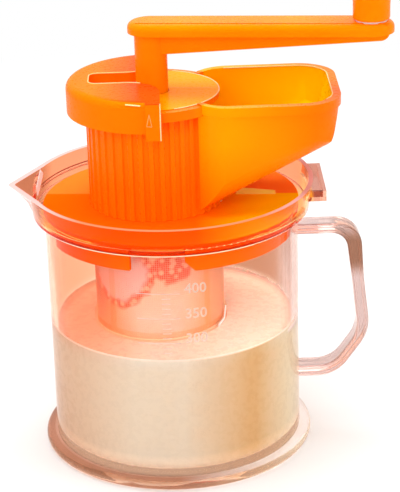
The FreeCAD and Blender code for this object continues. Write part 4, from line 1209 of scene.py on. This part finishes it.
class JUICER_OT_milk(Operator):
    """Fill the jug with milk up to its level"""
    bl_idname = "juicer.milk"
    bl_label = "Milk"

    # How far the milk reaches into the wall, so that no air shows between them
    into_wall = 0.06 * MM
    climb_reach = 1.6 * MM

    # The foam film's spread round the back wall, its height and its thickness
    splash_from = math.radians(-25)
    splash_to = math.radians(125)
    splash_height = 3.4 * MM
    splash_wall = 0.25 * MM
    splash_steps = 220

    def execute(self, context):
        size = sizes()
        radius = JUG_BORE_R + self.into_wall
        floor = JUG_FLOOR_Z - self.into_wall
        level = size.milk_level
        milk = turned("milk", rounded([
            (0, floor), (radius, floor, FLOOR_CORNER), (radius, level + size.milk_climb),
            (radius - self.climb_reach, level, 3 * self.climb_reach / 2), (0, level)]),
            finish("milk"), segments=192)
        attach(milk, "jug")
        self.splash(radius, level)
        return {"FINISHED"}

    def splash(self, radius, level):
        """Film of fine foam that the milk left on the back wall, with a bumpy upper edge."""
        bm = bmesh.new()
        rings = []
        for i in range(self.splash_steps + 1):
            share = i / self.splash_steps
            angle = self.splash_from + share * (self.splash_to - self.splash_from)
            wide = noise.noise(Vector((angle * 9, 0, 0)))
            fine = noise.noise(Vector((angle * 40, 1, 0)))
            bumps = max(0.75 + 0.5 * wide + 0.3 * fine, 0.1)
            top = level + self.splash_height * math.sin(math.pi * share) ** 0.5 * bumps
            section = ((radius - self.splash_wall, level - MM), (radius, level - MM),
                       (radius, top + 0.05 * MM), (radius - self.splash_wall * 0.6, top))
            rings.append([bm.verts.new((r * math.cos(angle), r * math.sin(angle), z)) for r, z in section])
        close_bar(bm, rings)
        bmesh.ops.recalc_face_normals(bm, faces=bm.faces)
        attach(add_object("milk_splash", mesh_from(bm, "milk_splash"), finish("splash")), "jug")


class JUICER_OT_filter_cup(Operator):
    """Dress the filter cup: clear frame and floor, and a woven net"""
    bl_idname = "juicer.filter_cup"
    bl_label = "Filter Cup"

    # The film of milk that clings inside the net
    film_wall = 0.15 * MM
    film_height = 31 * MM

    # Where the cup's lower edge catches the light
    cup_glint = (((18.4, -6.4, 52.0), (17.7, -8.6, 47.9), (0.9, -0.4, 0)),
                 ((17.7, -8.6, 47.9), (15.4, -13.1, 47.1), (0.85, -0.5, 0)))

    @staticmethod
    def low_edge(at, normal):
        """The foot edge of the cup's frame."""
        return at.z < CUP_LOW.z + 0.5 * MM

    def execute(self, context):
        size = sizes()
        frame_piece = dress("filter_frame", "cup_frame", "cup", FINE_EDGE, "cup")
        # The cup's lower edge takes an opaque pale finish, a painted highlight along it; the cup's floor
        # takes the same finish
        line_edges(frame_piece, self.low_edge, "cup_edge")
        paint_faces(frame_piece, "cup_edge", self.low_edge)
        dress("filter_floor", "cup_floor", "cup", FINE_EDGE, "cup_edge")
        radius = (SLEEVE_HIGH.x - SLEEVE_LOW.x) / 2 - size.net_wire / 2
        height = SLEEVE_HIGH.z - SLEEVE_LOW.z
        net = grow("filter_net", wires_plan, {
            "Radius": radius,
            "Height": height,
            "Pitch": size.net_pitch,
            "Wire": size.net_wire,
            "Upright Wires": int(2 * math.pi * radius / size.net_pitch),
            "Rings": int(height / size.net_pitch),
            "Centre X": BARREL_X,
            "Low Z": SLEEVE_LOW.z,
        }, finish("net"))
        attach(net, "cup")
        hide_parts("filter_mesh")
        outer = radius - size.net_wire
        inner = outer - self.film_wall
        low = SLEEVE_LOW.z + size.net_wire
        top = low + self.film_height
        film = turned("net_film", ((inner, low), (outer, low), (outer, top), (inner, top)),
                      finish("film"), BARREL_X, closed=True)
        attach(film, "cup")
        straight_marks("cup_glint", self.cup_glint, 1.1 * MM, 0.1 * MM, "cup", "glint")
        return {"FINISHED"}


class JUICER_OT_strainer(Operator):
    """Dress the strainer bowl, its beaded holes and the foam on it"""
    bl_idname = "juicer.strainer"
    bl_label = "Strainer"

    # Where the beads stand on the bowl, and the room that staggered rows save
    bowl_r = 21.2 * MM
    lowest_beads = 74.6 * MM
    bead_rows = 5
    row_share = 0.87

    # Middle of the foam, its half sizes, and the net that holds it in
    foam_middle = Vector((-14, -9, 69)) * MM
    foam_half = Vector((10, 12, 8.5)) * MM
    net_clear_r = 21.7 * MM

    # Share and fineness of the foam's lumps
    foam_waves = ((1.0, 2.2), (0.5, 6.0), (0.25, 15.0))

    def execute(self, context):
        size = sizes()
        dress("strainer_basket", "strainer_bowl", "barrel", FINE_EDGE, "strainer")
        beads = grow("strainer_beads", beads_plan, {
            "Radius": self.bowl_r - size.hole_size * 0.3,
            "Pitch": size.hole_pitch * self.row_share,
            "Size": size.hole_size,
            "Per Row": int(2 * math.pi * self.bowl_r / size.hole_pitch),
            "Rows": self.bead_rows,
            "Centre X": BARREL_X,
            "Low Z": self.lowest_beads,
        }, finish("foam"))
        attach(beads, "barrel")
        self.foam(size.foam_lumps)
        return {"FINISHED"}

    def foam(self, lumps):
        """Lumpy foam and pulp that hangs from the bowl on the spout's side."""
        bm = bmesh.new()
        bmesh.ops.create_icosphere(bm, subdivisions=6, radius=1)
        for vertex in bm.verts:
            outward = vertex.co.copy()
            swell = sum(share * noise.noise(outward * fineness) for share, fineness in self.foam_waves)
            point = self.foam_middle + outward * lumps * swell + outward * self.foam_half
            aside = Vector((point.x - BARREL_X, point.y))
            if aside.length > self.net_clear_r:
                aside *= self.net_clear_r / aside.length
            vertex.co = (BARREL_X + aside.x, aside.y, point.z)
        foam = add_object("strainer_foam", mesh_from(bm, "strainer_foam"), finish("foam"))
        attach(foam, "barrel")


class JUICER_OT_stage(Operator):
    """Set the floor, the lights, the white world and the camera"""
    bl_idname = "juicer.stage"
    bl_label = "Stage"

    floor_half = 3.0

    # Each soft light: name, place, aim, width, height, power, and whether the plastic mirrors it
    softboxes = (
        ("top_softbox", (0, 0.15, 1.2), (0, 0, 0.08), 1.3, 1.1, 19.0, False),
        ("front_softbox", (-0.15, -1.2, 0.75), (0, 0, 0.07), 1.0, 0.8, 7.5, False),
        ("left_softbox", (-1.05, -0.25, 0.55), (0, 0, 0.07), 0.4, 0.9, 2.0, True),
        ("right_softbox", (1.05, -0.35, 0.45), (0, 0, 0.07), 0.4, 0.8, 2.0, True))

    def execute(self, context):
        self.floor()
        self.world()
        for settings in self.softboxes:
            self.softbox(*settings)
        self.camera()
        return {"FINISHED"}

    def floor(self):
        """Flat pale floor under the foot ring."""
        bm = bmesh.new()
        half = self.floor_half
        z = JUG_LOW.z - 0.05 * MM
        bm.faces.new([bm.verts.new((x, y, z)) for x, y in (
            (-half, -half), (half, -half), (half, half), (-half, half))])
        add_object("studio_floor", mesh_from(bm, "studio_floor"), finish("floor"))

    def world(self):
        """White background, and a softer level of it as light."""
        world = bpy.data.worlds.new("Studio")
        world.use_nodes = True
        tree = world.node_tree
        tree.nodes.clear()
        path = put(tree, "ShaderNodeLightPath").outputs
        seen = largest(tree, path["Is Camera Ray"], path["Is Transmission Ray"], path["Is Glossy Ray"])
        strength = remap(tree, seen, 0.0, 1.0, 0.4, 1.0)
        light = put(tree, "ShaderNodeBackground", {"Color": (1, 0.99, 0.985, 1), "Strength": strength})
        output = put(tree, "ShaderNodeOutputWorld", {"Surface": light.outputs[0]})
        output.is_active_output = True
        bpy.context.scene.world = world

    def softbox(self, name, place, aim, width, height, power, mirrored):
        """Rectangular soft light that points at the juicer."""
        lamp = bpy.data.lights.new(name, "AREA")
        lamp.shape = "RECTANGLE"
        lamp.size = width
        lamp.size_y = height
        lamp.energy = power
        box = bpy.data.objects.new(name, lamp)
        box.location = place
        box.rotation_euler = (Vector(aim) - Vector(place)).to_track_quat("-Z", "Y").to_euler()
        box.visible_glossy = mirrored
        bpy.context.scene.collection.objects.link(box)

    def camera(self):
        """Camera at the photograph's angle, with a small shift for its framing."""
        data = bpy.data.cameras.new("camera")
        data.sensor_fit = "HORIZONTAL"
        data.sensor_width = SENSOR_WIDTH
        data.lens = CAMERA_FOCAL_PX * SENSOR_WIDTH / IMAGE_SIZE[0]
        data.shift_x = (IMAGE_SIZE[0] / 2 - AIM_PX[0]) / IMAGE_SIZE[0]
        data.shift_y = (AIM_PX[1] - IMAGE_SIZE[1] / 2) / IMAGE_SIZE[0]
        data.clip_end = 20
        camera = bpy.data.objects.new("camera", data)
        view = (CAMERA_AIM - CAMERA_AT).to_track_quat("-Z", "Y").to_matrix()
        turn = Matrix.Rotation(CAMERA_ROLL, 3, "Z")
        camera.matrix_world = Matrix.Translation(CAMERA_AT) @ (view @ turn).to_4x4()
        bpy.context.scene.collection.objects.link(camera)
        bpy.context.scene.camera = camera


STEPS = (
    JUICER_OT_press_head, JUICER_OT_crank, JUICER_OT_inner_parts, JUICER_OT_jug, JUICER_OT_scale,
    JUICER_OT_milk, JUICER_OT_filter_cup, JUICER_OT_strainer, JUICER_OT_stage)


class JUICER_PT_panel(Panel):
    """Lists the juicer's steps, sizes and colours"""
    bl_idname = "JUICER_PT_panel"
    bl_label = "Manual Juicer"
    bl_space_type = "VIEW_3D"
    bl_region_type = "UI"
    bl_category = "Juicer"

    def draw(self, context):
        for step in STEPS:
            self.layout.operator(step.bl_idname)
        for group in (context.scene.juicer_sizes, context.scene.juicer_colours):
            box = self.layout.box()
            for name in group.__annotations__:
                box.prop(group, name)


CLASSES = (JuicerSizes, JuicerColours, *STEPS, JUICER_PT_panel)


def register():
    """Register the classes and hang the settings on the scene."""
    for item in CLASSES:
        bpy.utils.register_class(item)
    bpy.types.Scene.juicer_sizes = PointerProperty(type=JuicerSizes)
    bpy.types.Scene.juicer_colours = PointerProperty(type=JuicerColours)


def unregister():
    """Take the settings and the classes away again."""
    del bpy.types.Scene.juicer_colours
    del bpy.types.Scene.juicer_sizes
    for item in reversed(CLASSES):
        bpy.utils.unregister_class(item)


def run_step(step):
    """Call an operator by its name, and stop if it didn't finish."""
    group, name = step.bl_idname.split(".")
    result = getattr(getattr(bpy.ops, group), name)()
    if "FINISHED" not in result:
        raise RuntimeError(step.bl_label + " did not finish")


def main():
    """Build the dressed juicer."""
    register()
    view = bpy.context.scene.view_settings
    view.view_transform = "Standard"
    for step in STEPS:
        run_step(step)


if __name__ == "__main__":
    main()
